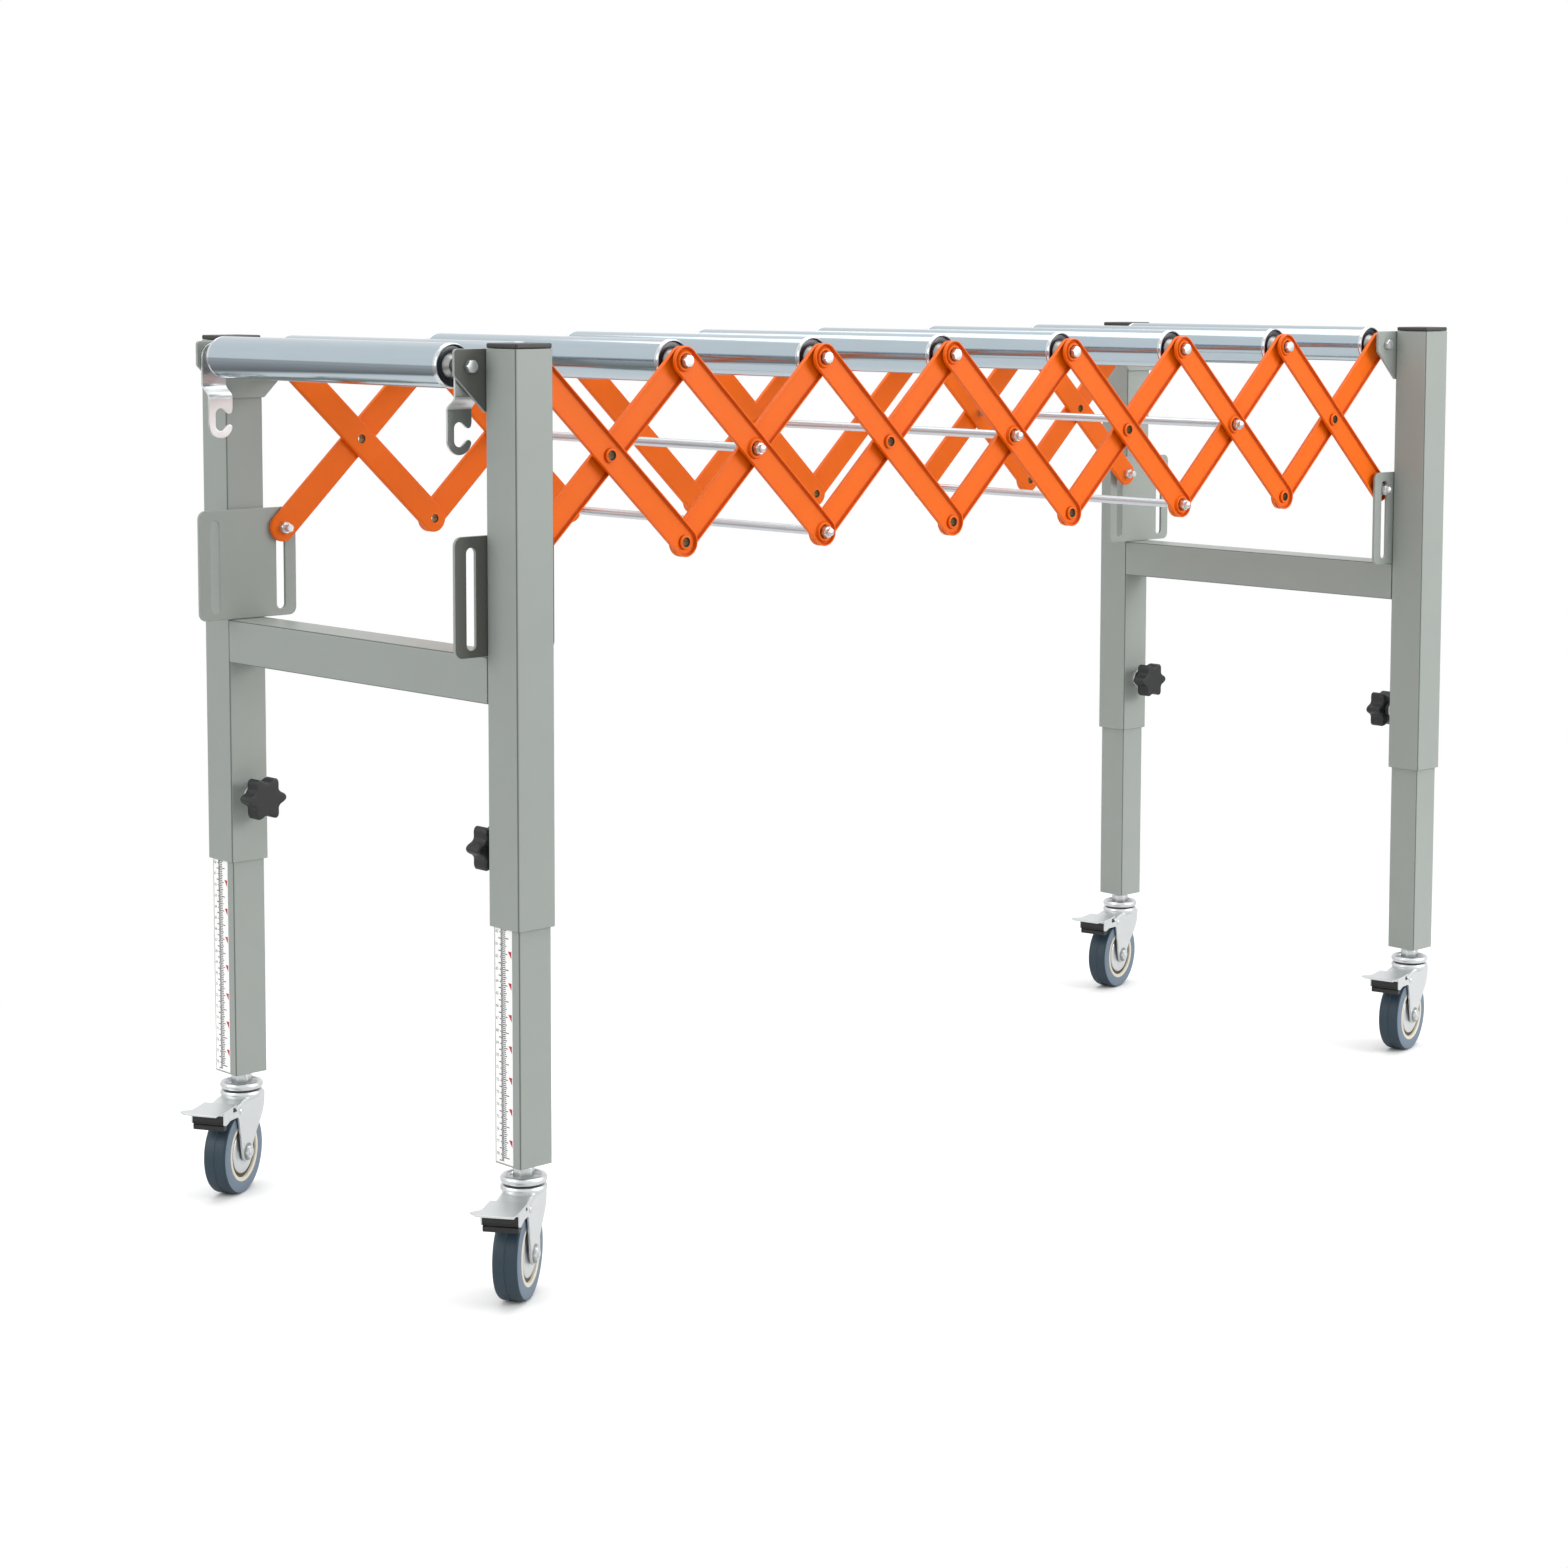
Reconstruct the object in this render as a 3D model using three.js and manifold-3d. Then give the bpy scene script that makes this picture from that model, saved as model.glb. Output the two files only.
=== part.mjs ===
// Expandable roller conveyor: two H frames on telescoping legs and braked casters,
// joined by a scissor lattice of pressed links that carries the rollers.
// Millimetres, +Z up. X runs from the left frame to the right one, and -Y is the near side.
// The origin is on the floor, midway between the frames and on their middle plane.
// A distance named "out" is measured from the middle plane outwards, alike on both sides.

import * as THREE from 'three';
import { mergeVertices } from 'three/addons/utils/BufferGeometryUtils.js';
import Module from 'manifold-3d';

const wasm = await Module();
wasm.setup();

// Overall sizes
const frameWidth = 440;
const rollerTopHeight = 760;

// Clearances between pieces
const seatGap = 0.3;
const runGap = 0.3;
const layerGap = 0.6;
const cutOverrun = 1;

// Scissor lattice
const cellCount = 7;
const linkCentres = 221;
const linkAngle = THREE.MathUtils.degToRad(43.1);
const linkWidth = 25;
const linkDepth = 4.5;
const linkSheet = 1.5;
const bossRadius = 7;
const bossBelowRim = 0.5;
const boltRadius = 4;
const boltHeadRadius = 6;
const boltHeadHeight = 5;
const collarRadius = 6.5;
const rivetBore = 2.4;
const rivetHeadRadius = 6.5;
const rivetHeadHeight = 0.9;
const boltSides = 8;
const hexSides = 6;
const linkEndSteps = 3;
const curveSteps = 2;
const cornerSteps = 1;

// Rollers
const rollerRadius = 18;
const rollerWall = 1.2;
const rollerRimDepth = 4;
const rollerRimWidth = 2.2;
const rollerHubRadius = 9.5;
const rollerHubTipRadius = 6.8;
const rollerHubLength = 6;
const rollerPlugDepth = 12;
const rollerSides = 10;

// End frames
const tubeSide = 38;
const tubeWall = 2.2;
const tubeLength = 458;
const capHeight = 4;
const capEdge = 1;
const capPlugDepth = 10;
const plateThickness = 3;
const plateToLink = 1;
const pivotToPost = 34;
const bracketHalfWidth = 49;
const bracketEdgeHeight = 21;
const bracketHeight = 50;
const plateHalfWidth = 50;
const plateHeight = 96;
const plateCorner = 7;
const slotWidth = 9;
const slotLength = 81;
const slotBelowPlateTop = 9;
const pinBelowSlotTop = 9;
const crossbarHeight = 38;
const crossbarWall = 2;
const crossbarBelowPlate = 0.3;

// Telescoping legs and their clamp knobs. A leg reaches from the caster under it into the outer tube.
const legWall = 2;
const legOverlap = 110;
const legFloor = 4;
const knobAboveTubeEnd = 58;
const studRadius = 4;
const knobNutRadius = 8;
const knobNutHeight = 5;
const knobRadius = 20;
const knobValley = 14.5;
const knobLobes = 6;
const knobHeight = 13;
const knobHubRadius = 9;
const knobHubHeight = 7;
const knobOutlineShares = [1, 0.93, 0, 0.93];

// Casters
const wheelRadius = 37.5;
const wheelWidth = 22;
const wheelTrail = 18;
const wheelSides = 16;
const tyreRound = 3;
const rimRadius = 25;
const rimRecess = 2.5;
const wheelHubRadius = 9;
const axleRadius = 4;
const axleNutRadius = 6.5;
const axleNutHeight = 4;
const forkSheet = 2.2;
const forkToWheel = 1.2;
const hoodToWheel = 5.8;
const forkEyeRadius = 9;
const forkEyeEnd = THREE.MathUtils.degToRad(326);
const forkNeckBack = 15.5;
const forkWaistBack = 2;
const forkWaistRise = 12.5;
const forkHoodFront = 38;
const headRadius = 19;
const headDiscHeight = 6.5;
const headRound = 2;
const headGap = 1;
const headSides = 12;
const stemRadius = 5;
const stemNutRadius = 9;
const stemNutHeight = 8.4;
const stemLength = 16;
const pedalPivotBack = 53;
const pedalPivotDrop = 10;
const pedalPinRadius = 2;
const pedalPinEdge = 3.5;
const pedalTopRise = 7.5;
const forkFrontRise = 1.5;
const forkNeckFall = 6.5;
const pedalSheet = 1.5;
const pedalDip = 1;
const pedalRear = 42;
const pedalReach = 82;
const cheekRear = 48.6;
const cheekHeight = 15;
const blockRear = 47;
const blockStep = 58.3;
const blockFront = 66;
const blockHeight = 17;
const blockHalfWidth = 11.4;
const casterAngles = {
  left_near: THREE.MathUtils.degToRad(35),
  left_far: THREE.MathUtils.degToRad(30),
  right_near: THREE.MathUtils.degToRad(13),
  right_far: THREE.MathUtils.degToRad(12.5),
};

// Hooks on the outer roller's axle
const hookSheet = 2;
const hookWidth = 24;
const hookJoggle = 10;
const hookJoggleTop = 25;
const hookJoggleBottom = 34;
const hookDrop = 70;
const hookMouthWidth = 10;
const hookMouthHeight = 10;
const hookBackWidth = 6.7;

// Levels and places that follow from the sizes
const innerFaceOut = frameWidth / 2 - tubeSide;
const plateInnerOut = innerFaceOut - plateThickness;
const outerLinkOut = plateInnerOut - plateToLink - linkDepth;
const innerLinkOut = outerLinkOut - layerGap - linkDepth;
const hubOut = innerLinkOut - layerGap;
const rollerEndOut = hubOut - rollerHubLength;
const boltHeadOut = outerLinkOut + linkDepth - bossBelowRim + runGap;
const frameHeadOut = innerFaceOut + runGap;
const pitch = linkCentres * Math.cos(linkAngle);
const drop = linkCentres * Math.sin(linkAngle);
const firstPivotX = -cellCount * pitch / 2;
const pivotZ = rollerTopHeight - rollerRadius;
const postX = cellCount * pitch / 2 + pivotToPost;
const postOut = frameWidth / 2 - tubeSide / 2;
const tubeTopZ = rollerTopHeight - capHeight - seatGap;
const tubeEndZ = tubeTopZ - tubeLength;
const slotTopZ = pivotZ - drop + pinBelowSlotTop;
const plateTopZ = slotTopZ + slotBelowPlateTop;
const crossbarTopZ = plateTopZ - plateHeight - crossbarBelowPlate;
const legSide = tubeSide - 2 * tubeWall - 2 * runGap;
const knobZ = tubeEndZ + knobAboveTubeEnd;
const forkInnerOut = wheelWidth / 2 + forkToWheel;
const forkOuterOut = forkInnerOut + forkSheet;
const forkTopHeight = 2 * wheelRadius + hoodToWheel + forkSheet + headDiscHeight;
const legEndZ = forkTopHeight + headGap + headDiscHeight + stemNutHeight + seatGap;
const pedalPivotHeight = forkTopHeight - pedalPivotDrop;

const paints = {
  frame: { color: 0x9aa19c, roughness: 0.5, metalness: 0.1 },
  link: { color: 0xe8702a, roughness: 0.45, metalness: 0.1 },
  zinc: { color: 0xc9cfd2, roughness: 0.3, metalness: 0.9 },
  black: { color: 0x26282a, roughness: 0.6, metalness: 0 },
  tyre: { color: 0x5a6b7c, roughness: 0.7, metalness: 0 },
};

const conveyor = new THREE.Group();

// Solid helpers
function solid(geometry) {
  geometry.deleteAttribute('normal');
  geometry.deleteAttribute('uv');
  const merged = mergeVertices(geometry);
  return new wasm.Manifold(new wasm.Mesh({
    numProp: 3,
    vertProperties: new Float32Array(merged.attributes.position.array),
    triVerts: new Uint32Array(merged.index.array),
  }));
}

function geometryOf(manifold) {
  const mesh = manifold.getMesh();
  const geometry = new THREE.BufferGeometry();
  geometry.setAttribute('position', new THREE.BufferAttribute(mesh.vertProperties, 3));
  geometry.setIndex(new THREE.BufferAttribute(mesh.triVerts, 1));
  return geometry;
}

function addPiece(name, manifold, paint, place = {}) {
  const mesh = new THREE.Mesh(
    geometryOf(manifold),
    new THREE.MeshStandardMaterial({ ...paints[paint], flatShading: true }),
  );
  mesh.name = name;
  mesh.position.set(place.x ?? 0, place.y ?? 0, place.z ?? 0);
  mesh.rotation.set(0, place.turnY ?? 0, place.turnZ ?? 0);
  conveyor.add(mesh);
  return mesh;
}

// The radius that lets a faceted hole clear a round pin all the way round.
function holeRadius(pinRadius, sides) {
  return (pinRadius + runGap) / Math.cos(Math.PI / sides);
}

function block(x0, x1, y0, y1, z0, z1) {
  const geometry = new THREE.BoxGeometry(x1 - x0, Math.abs(y1 - y0), z1 - z0);
  geometry.translate((x0 + x1) / 2, (y0 + y1) / 2, (z0 + z1) / 2);
  return solid(geometry);
}

// A cylinder along Y between two distances out, at a place in the XZ plane.
function rod(radius, sides, y0, y1, x = 0, z = 0) {
  const geometry = new THREE.CylinderGeometry(radius, radius, Math.abs(y1 - y0), sides);
  geometry.translate(x, (y0 + y1) / 2, z);
  return solid(geometry);
}

// A shape drawn in the XZ plane, given its thickness along Y.
function slab(shape, y0, y1, steps = linkEndSteps) {
  const thickness = Math.abs(y1 - y0);
  const geometry = new THREE.ExtrudeGeometry(shape, {
    depth: thickness,
    bevelEnabled: false,
    curveSegments: steps,
  });
  geometry.rotateX(Math.PI / 2);
  geometry.translate(0, Math.max(y0, y1), 0);
  return solid(geometry);
}

// A profile of radius and height points turned about Z.
function turned(points, sides) {
  const closed = points.map(([radius, height]) => new THREE.Vector2(radius, height));
  const geometry = new THREE.LatheGeometry([...closed, closed[0].clone()], sides);
  geometry.rotateX(Math.PI / 2);
  return solid(geometry);
}

function stadium(length, radius) {
  const shape = new THREE.Shape();
  shape.absarc(0, 0, radius, Math.PI / 2, 3 * Math.PI / 2);
  shape.absarc(length, 0, radius, -Math.PI / 2, Math.PI / 2);
  shape.closePath();
  return shape;
}

function roundedRectangle(x0, x1, z0, z1, corner) {
  const shape = new THREE.Shape();
  shape.absarc(x1 - corner, z1 - corner, corner, 0, Math.PI / 2);
  shape.absarc(x0 + corner, z1 - corner, corner, Math.PI / 2, Math.PI);
  shape.absarc(x0 + corner, z0 + corner, corner, Math.PI, 3 * Math.PI / 2);
  shape.absarc(x1 - corner, z0 + corner, corner, 3 * Math.PI / 2, 2 * Math.PI);
  shape.closePath();
  return shape;
}

function upright(halfWidth, z0, z1) {
  const shape = new THREE.Shape();
  shape.absarc(0, z1 - halfWidth, halfWidth, 0, Math.PI);
  shape.absarc(0, z0 + halfWidth, halfWidth, Math.PI, 2 * Math.PI);
  shape.closePath();
  return shape;
}

const signOf = { near: -1, far: 1 };

// Scissor links
// "down" links fall from a top pivot to the next bottom one, "up" links climb to the next top.
// The near down links and the far up links lie in the outer layer.
const pivotX = { start: 0, middle: linkCentres / 2, end: linkCentres };

function isOuter(kind, side) {
  return (kind === 'down') === (side === 'near');
}

function panLink(kind, side) {
  const sign = signOf[side];
  const base = isOuter(kind, side) ? outerLinkOut : innerLinkOut;
  const rim = base + linkDepth;
  const pan = slab(stadium(linkCentres, linkWidth / 2), sign * base, sign * rim)
    .subtract(slab(
      stadium(linkCentres, linkWidth / 2 - linkSheet),
      sign * (base + linkSheet),
      sign * (rim + cutOverrun),
    ));
  return pan;
}

// The raised ring round a bolt, on the link whose hollow side shows.
function boss(side, x) {
  const sign = signOf[side];
  const rim = outerLinkOut + linkDepth;
  return rod(bossRadius, boltSides, sign * outerLinkOut, sign * (rim - bossBelowRim), x);
}

function pivotHole(side, x) {
  const sign = signOf[side];
  return rod(
    holeRadius(boltRadius, hexSides),
    hexSides,
    sign * (innerLinkOut - cutOverrun),
    sign * (outerLinkOut + linkDepth + cutOverrun),
    x,
  );
}

// A hollow rivet through both layers, carried by the outer link.
function rivet(side, x) {
  const sign = signOf[side];
  const outerHead = outerLinkOut + linkDepth - bossBelowRim;
  const innerHead = innerLinkOut - runGap;
  return rod(boltRadius, boltSides, sign * innerHead, sign * outerHead, x)
    .add(rod(rivetHeadRadius, boltSides, sign * outerLinkOut,
      sign * (outerHead + rivetHeadHeight), x));
}

function rivetHole(side, x) {
  const sign = signOf[side];
  return rod(rivetBore, hexSides, sign * (innerLinkOut - 2 * cutOverrun),
    sign * (outerLinkOut + linkDepth + 2 * cutOverrun), x);
}

// A through bolt or tie rod with a hex head or nut at each end.
function throughBolt(headOut, x) {
  return [-1, 1].reduce(
    (body, sign) => body.add(rod(boltHeadRadius, hexSides, sign * headOut,
      sign * (headOut + boltHeadHeight), x)),
    rod(boltRadius, boltSides, -headOut - cutOverrun, headOut + cutOverrun, x),
  );
}

// The spacer that fills the layer where an end pivot has one link only.
function collar(kind, side, x) {
  const sign = signOf[side];
  const outer = isOuter(kind, side);
  const from = outer ? innerLinkOut : innerLinkOut + linkDepth - bossBelowRim - cutOverrun;
  const to = outer ? outerLinkOut + cutOverrun : plateInnerOut - runGap;
  return rod(collarRadius, boltSides, sign * from, sign * to, x);
}

// The pin that rides in a slot, with a nut inside the link and one outside the plate.
function slotPin(kind, side, x) {
  const sign = signOf[side];
  const base = isOuter(kind, side) ? outerLinkOut : innerLinkOut;
  return rod(boltRadius, boltSides, sign * base, sign * (frameHeadOut + cutOverrun), x)
    .add(rod(boltHeadRadius, hexSides, sign * frameHeadOut, sign * (frameHeadOut + boltHeadHeight), x))
    .add(rod(boltHeadRadius, hexSides, sign * (base - boltHeadHeight), sign * (base + linkSheet / 2), x))
    .add(rod(collarRadius, boltSides, sign * (base + linkSheet / 2),
      sign * (plateInnerOut - runGap), x));
}

// What joins the links at each pivot. A number is the cell whose links meet there.
const tieRodsAtMiddle = [2, 4, 6];
const tieRodsAtBottom = [2, 5];
const boltOwners = {
  down_1: 'start',
  up_1: 'end',
  down_2: 'end',
  up_2: 'middle',
  down_3: 'start',
  up_3: 'end',
  down_4: 'middle',
  up_4: 'end',
  down_5: 'end',
  up_5: 'end',
  down_6: 'middle',
  down_7: 'start',
  up_7: 'end',
};

function pivotKind(kind, cell, place) {
  if (place === 'middle') return tieRodsAtMiddle.includes(cell) ? 'bolt' : 'rivet';
  const isTop = (kind === 'down') === (place === 'start');
  if (isTop) return 'bolt';
  const bottom = kind === 'down' ? cell : cell - 1;
  if (bottom === 0 || bottom === cellCount) return 'slot pin';
  return tieRodsAtBottom.includes(bottom) ? 'bolt' : 'rivet';
}

function isEndTop(kind, cell) {
  return (kind === 'down' && cell === 1) || (kind === 'up' && cell === cellCount);
}

function dressedLink(kind, cell, side) {
  const owned = boltOwners[`${kind}_${cell}`];
  let body = panLink(kind, side);
  for (const [place, x] of Object.entries(pivotX)) {
    const joint = pivotKind(kind, cell, place);
    if (joint === 'bolt' && isOuter(kind, side)) body = body.add(boss(side, x));
    if (joint === 'slot pin') {
      body = body.add(slotPin(kind, side, x));
    } else if (joint === 'rivet' && isOuter(kind, side)) {
      body = body.add(rivet(side, x)).subtract(rivetHole(side, x));
    } else if (joint === 'rivet' || place !== owned) {
      body = body.subtract(pivotHole(side, x));
    } else if (isEndTop(kind, cell)) {
      body = body.add(collar(kind, side, x));
    }
  }
  return body;
}

function addLinks(kind, cell) {
  const name = `${kind}_${cell}`;
  const owned = boltOwners[name];
  const startX = firstPivotX + (cell - 1) * pitch;
  const place = {
    x: startX,
    z: kind === 'down' ? pivotZ : pivotZ - drop,
    turnY: kind === 'down' ? linkAngle : -linkAngle,
  };
  const near = dressedLink(kind, cell, 'near');
  const far = dressedLink(kind, cell, 'far');
  if (owned) {
    const headOut = isEndTop(kind, cell) ? frameHeadOut : boltHeadOut;
    const pair = near.add(far).add(throughBolt(headOut, pivotX[owned]));
    addPiece(`${kind}_links_${cell}`, pair, 'link', place);
  } else {
    addPiece(`${kind}_link_${cell}_near`, near, 'link', place);
    addPiece(`${kind}_link_${cell}_far`, far, 'link', place);
  }
}

for (let cell = 1; cell <= cellCount; cell += 1) {
  addLinks('down', cell);
  addLinks('up', cell);
}

// Rollers: a tube with a rolled rim, a recessed bearing ring and a cone hub that meets the links.
function roller() {
  const bore = holeRadius(boltRadius, rollerSides);
  const half = [
    [bore, hubOut],
    [rollerHubTipRadius, hubOut],
    [rollerHubRadius, rollerEndOut - rollerRimDepth],
    [rollerRadius - rollerRimWidth, rollerEndOut - rollerRimDepth],
    [rollerRadius - rollerRimWidth, rollerEndOut],
    [rollerRadius, rollerEndOut],
  ];
  const cavity = rollerEndOut - rollerRimDepth - rollerPlugDepth;
  const profile = [
    ...half,
    ...half.map(([radius, y]) => [radius, -y]).reverse(),
    [bore, -cavity],
    [rollerRadius - rollerWall, -cavity],
    [rollerRadius - rollerWall, cavity],
    [bore, cavity],
  ];
  const closed = profile.map(([radius, y]) => new THREE.Vector2(radius, y)).reverse();
  return solid(new THREE.LatheGeometry([...closed, closed[0].clone()], rollerSides));
}

const rollerXs = [firstPivotX - 2 * pivotToPost];
for (let top = 0; top <= cellCount; top += 1) {
  rollerXs.push(firstPivotX + top * pitch);
}
rollerXs.forEach((x, index) => addPiece(`roller_${index + 1}`, roller(), 'zinc', { x, z: pivotZ }));

// End frames
function bracketShape() {
  const shape = new THREE.Shape();
  const top = tubeTopZ;
  shape.moveTo(-bracketHalfWidth, top);
  shape.lineTo(-bracketHalfWidth, top - bracketEdgeHeight);
  shape.lineTo(-tubeSide / 2, top - bracketHeight);
  shape.lineTo(tubeSide / 2, top - bracketHeight);
  shape.lineTo(bracketHalfWidth, top - bracketEdgeHeight);
  shape.lineTo(bracketHalfWidth, top);
  shape.closePath();
  return shape;
}

// A post with its bracket and slotted plate. The axle fills the bracket's hole on the post it is fixed in.
function post(side, carriesAxle) {
  const sign = signOf[side];
  const half = tubeSide / 2;
  const inner = half - tubeWall;
  const centre = sign * postOut;
  const plateSpan = [sign * plateInnerOut, sign * innerFaceOut];
  const cutSpan = [sign * (plateInnerOut - cutOverrun), sign * (innerFaceOut + tubeWall + cutOverrun)];
  const plateBottomZ = plateTopZ - plateHeight;
  let body = block(-half, half, centre - half, centre + half, tubeEndZ, tubeTopZ)
    .add(slab(bracketShape(), ...plateSpan))
    .add(slab(
      roundedRectangle(-plateHalfWidth, plateHalfWidth, plateBottomZ, plateTopZ, plateCorner),
      ...plateSpan,
      cornerSteps,
    ))
    .add(rod(knobNutRadius, hexSides, sign * (innerFaceOut - knobNutHeight),
      sign * (innerFaceOut + tubeWall / 2), 0, knobZ))
    .subtract(block(-inner, inner, centre - inner, centre + inner,
      tubeEndZ - cutOverrun, tubeTopZ + cutOverrun))
    .subtract(rod(holeRadius(studRadius, boltSides), boltSides,
      sign * (innerFaceOut - knobNutHeight - cutOverrun),
      sign * (innerFaceOut + tubeWall + cutOverrun), 0, knobZ));
  for (const x of [-pivotToPost, pivotToPost]) {
    const slot = upright(slotWidth / 2, slotTopZ - slotLength, slotTopZ);
    body = body.subtract(slab(slot, ...cutSpan, curveSteps).translate([x, 0, 0]));
    body = carriesAxle && x < 0
      ? body.add(throughBolt(frameHeadOut, 0).translate([x, 0, pivotZ]))
      : body.subtract(rod(holeRadius(boltRadius, boltSides), boltSides, ...cutSpan, x, pivotZ));
  }
  return body;
}

function crossbar() {
  const half = tubeSide / 2;
  const end = innerFaceOut - seatGap;
  const bottom = crossbarTopZ - crossbarHeight;
  return block(-half, half, -end, end, bottom, crossbarTopZ)
    .subtract(block(-half + crossbarWall, half - crossbarWall, -end - cutOverrun, end + cutOverrun,
      bottom + crossbarWall, crossbarTopZ - crossbarWall));
}

function cap() {
  const half = tubeSide / 2;
  const plug = tubeSide / 2 - tubeWall - runGap;
  const shape = new THREE.Shape([
    new THREE.Vector2(-half, 0),
    new THREE.Vector2(half, 0),
    new THREE.Vector2(half, capHeight - capEdge),
    new THREE.Vector2(half - capEdge, capHeight),
    new THREE.Vector2(capEdge - half, capHeight),
    new THREE.Vector2(-half, capHeight - capEdge),
  ]);
  const alongY = slab(shape, -half, half);
  return alongY.intersect(alongY.rotate([0, 0, 90]))
    .add(block(-plug, plug, -plug, plug, -capPlugDepth, capEdge));
}

// Telescoping leg: a square tube with a floor that the caster stem passes through.
function leg() {
  const half = legSide / 2;
  const inner = half - legWall;
  const top = tubeEndZ + legOverlap;
  return block(-half, half, -half, half, legEndZ, top)
    .subtract(block(-inner, inner, -inner, inner, legEndZ + legFloor, top + cutOverrun))
    .subtract(rod(holeRadius(stemRadius, boltSides), boltSides, -cutOverrun, legFloor + cutOverrun)
      .rotate([90, 0, 0]).translate([0, 0, legEndZ]));
}

// Clamp knob, drawn with its stud along +Y from the outer tube's inner face.
function knob(side) {
  const sign = signOf[side];
  const nutOut = innerFaceOut - knobNutHeight - runGap;
  const shape = new THREE.Shape();
  const steps = knobLobes * knobOutlineShares.length;
  for (let step = 0; step < steps; step += 1) {
    const share = knobOutlineShares[step % knobOutlineShares.length];
    const reach = knobValley + (knobRadius - knobValley) * share;
    const angle = (step / steps) * 2 * Math.PI;
    if (step === 0) shape.moveTo(reach * Math.cos(angle), reach * Math.sin(angle));
    else shape.lineTo(reach * Math.cos(angle), reach * Math.sin(angle));
  }
  shape.closePath();
  const backOut = nutOut - knobHubHeight;
  return rod(studRadius, boltSides, sign * (backOut - cutOverrun),
    sign * (innerFaceOut + tubeWall))
    .add(rod(knobHubRadius, hexSides * 2, sign * backOut, sign * nutOut))
    .add(slab(shape, sign * (backOut - knobHeight), sign * backOut));
}

// Casters, drawn with the swivel axis on Z and the wheel and pedal towards -X.
function casterHead() {
  const bottom = forkTopHeight + headGap;
  const top = bottom + headDiscHeight;
  return turned([
    [0, bottom - headDiscHeight],
    [stemRadius, bottom - headDiscHeight],
    [stemRadius, bottom],
    [headRadius - headRound, bottom],
    [headRadius, bottom + headRound],
    [headRadius, top - headRound],
    [headRadius - headRound, top],
    [0, top],
  ], headSides)
    .add(turned([[0, top - cutOverrun], [stemNutRadius, top - cutOverrun],
      [stemNutRadius, top + stemNutHeight], [0, top + stemNutHeight]], hexSides))
    .add(turned([[0, top], [stemRadius, top],
      [stemRadius, legEndZ + stemLength], [0, legEndZ + stemLength]], boltSides));
}

function forkSideShape() {
  const shape = new THREE.Shape();
  const top = forkTopHeight - headDiscHeight;
  const front = -pedalPivotBack - pedalPinEdge;
  shape.moveTo(headRadius - headRound, top);
  shape.lineTo(front + headRound, pedalPivotHeight + forkFrontRise);
  shape.lineTo(front, pedalPivotHeight - pedalPinEdge);
  shape.lineTo(-wheelTrail - forkNeckBack, pedalPivotHeight - forkNeckFall);
  shape.lineTo(-wheelTrail - forkEyeRadius, wheelRadius);
  shape.absarc(-wheelTrail, wheelRadius, forkEyeRadius, Math.PI, forkEyeEnd);
  shape.quadraticCurveTo(-forkWaistBack, wheelRadius + forkWaistRise, headRadius - headRound,
    2 * wheelRadius - forkEyeRadius);
  shape.closePath();
  return shape;
}

function forkHoodShape() {
  const top = forkTopHeight - headDiscHeight;
  const frontTop = pedalPivotHeight + forkFrontRise;
  return new THREE.Shape([
    new THREE.Vector2(headRadius - headRound, top),
    new THREE.Vector2(headRound - headRadius, top),
    new THREE.Vector2(-forkHoodFront, frontTop),
    new THREE.Vector2(-forkHoodFront, frontTop - forkSheet),
    new THREE.Vector2(headRound - headRadius, top - forkSheet),
    new THREE.Vector2(headRadius - headRound, top - forkSheet),
  ]);
}

function fork() {
  const top = forkTopHeight;
  const discBottom = top - headDiscHeight;
  const kingHole = holeRadius(stemRadius, headSides);
  const disc = turned([
    [0, discBottom],
    [headRadius - headRound, discBottom],
    [headRadius, discBottom + headRound],
    [headRadius, top - headRound],
    [headRadius - headRound, top],
    [0, top],
  ], headSides);
  let body = disc.add(slab(forkHoodShape(), -forkOuterOut, forkOuterOut));
  for (const sign of [-1, 1]) {
    body = body
      .add(slab(forkSideShape(), sign * forkInnerOut, sign * forkOuterOut, curveSteps))
      .add(rod(axleNutRadius, hexSides, sign * (forkOuterOut - forkSheet / 2),
        sign * (forkOuterOut + axleNutHeight), -wheelTrail, wheelRadius))
      .subtract(rod(holeRadius(pedalPinRadius, boltSides), boltSides,
        sign * (forkInnerOut - cutOverrun), sign * (forkOuterOut + cutOverrun),
        -pedalPivotBack, pedalPivotHeight));
  }
  return body
    .add(rod(axleRadius, boltSides, -forkInnerOut - cutOverrun, forkInnerOut + cutOverrun,
      -wheelTrail, wheelRadius))
    .subtract(turned([[0, discBottom - 2 * forkSheet], [kingHole, discBottom - 2 * forkSheet],
      [kingHole, top + cutOverrun], [0, top + cutOverrun]], headSides));
}

// Wheel about Y: rounded tyre, recessed rim and a hub with a bore for the axle.
function wheel() {
  const half = wheelWidth / 2;
  const bore = holeRadius(axleRadius, wheelSides);
  const side = [
    [bore, half],
    [wheelHubRadius, half],
    [wheelHubRadius, half - rimRecess],
    [rimRadius, half - rimRecess],
    [rimRadius, half],
    [wheelRadius - tyreRound, half],
    [wheelRadius, half - tyreRound],
  ];
  const closed = [...side, ...side.map(([radius, y]) => [radius, -y]).reverse()]
    .map(([radius, y]) => new THREE.Vector2(radius, y)).reverse();
  return solid(new THREE.LatheGeometry([...closed, closed[0].clone()], wheelSides));
}

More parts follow.
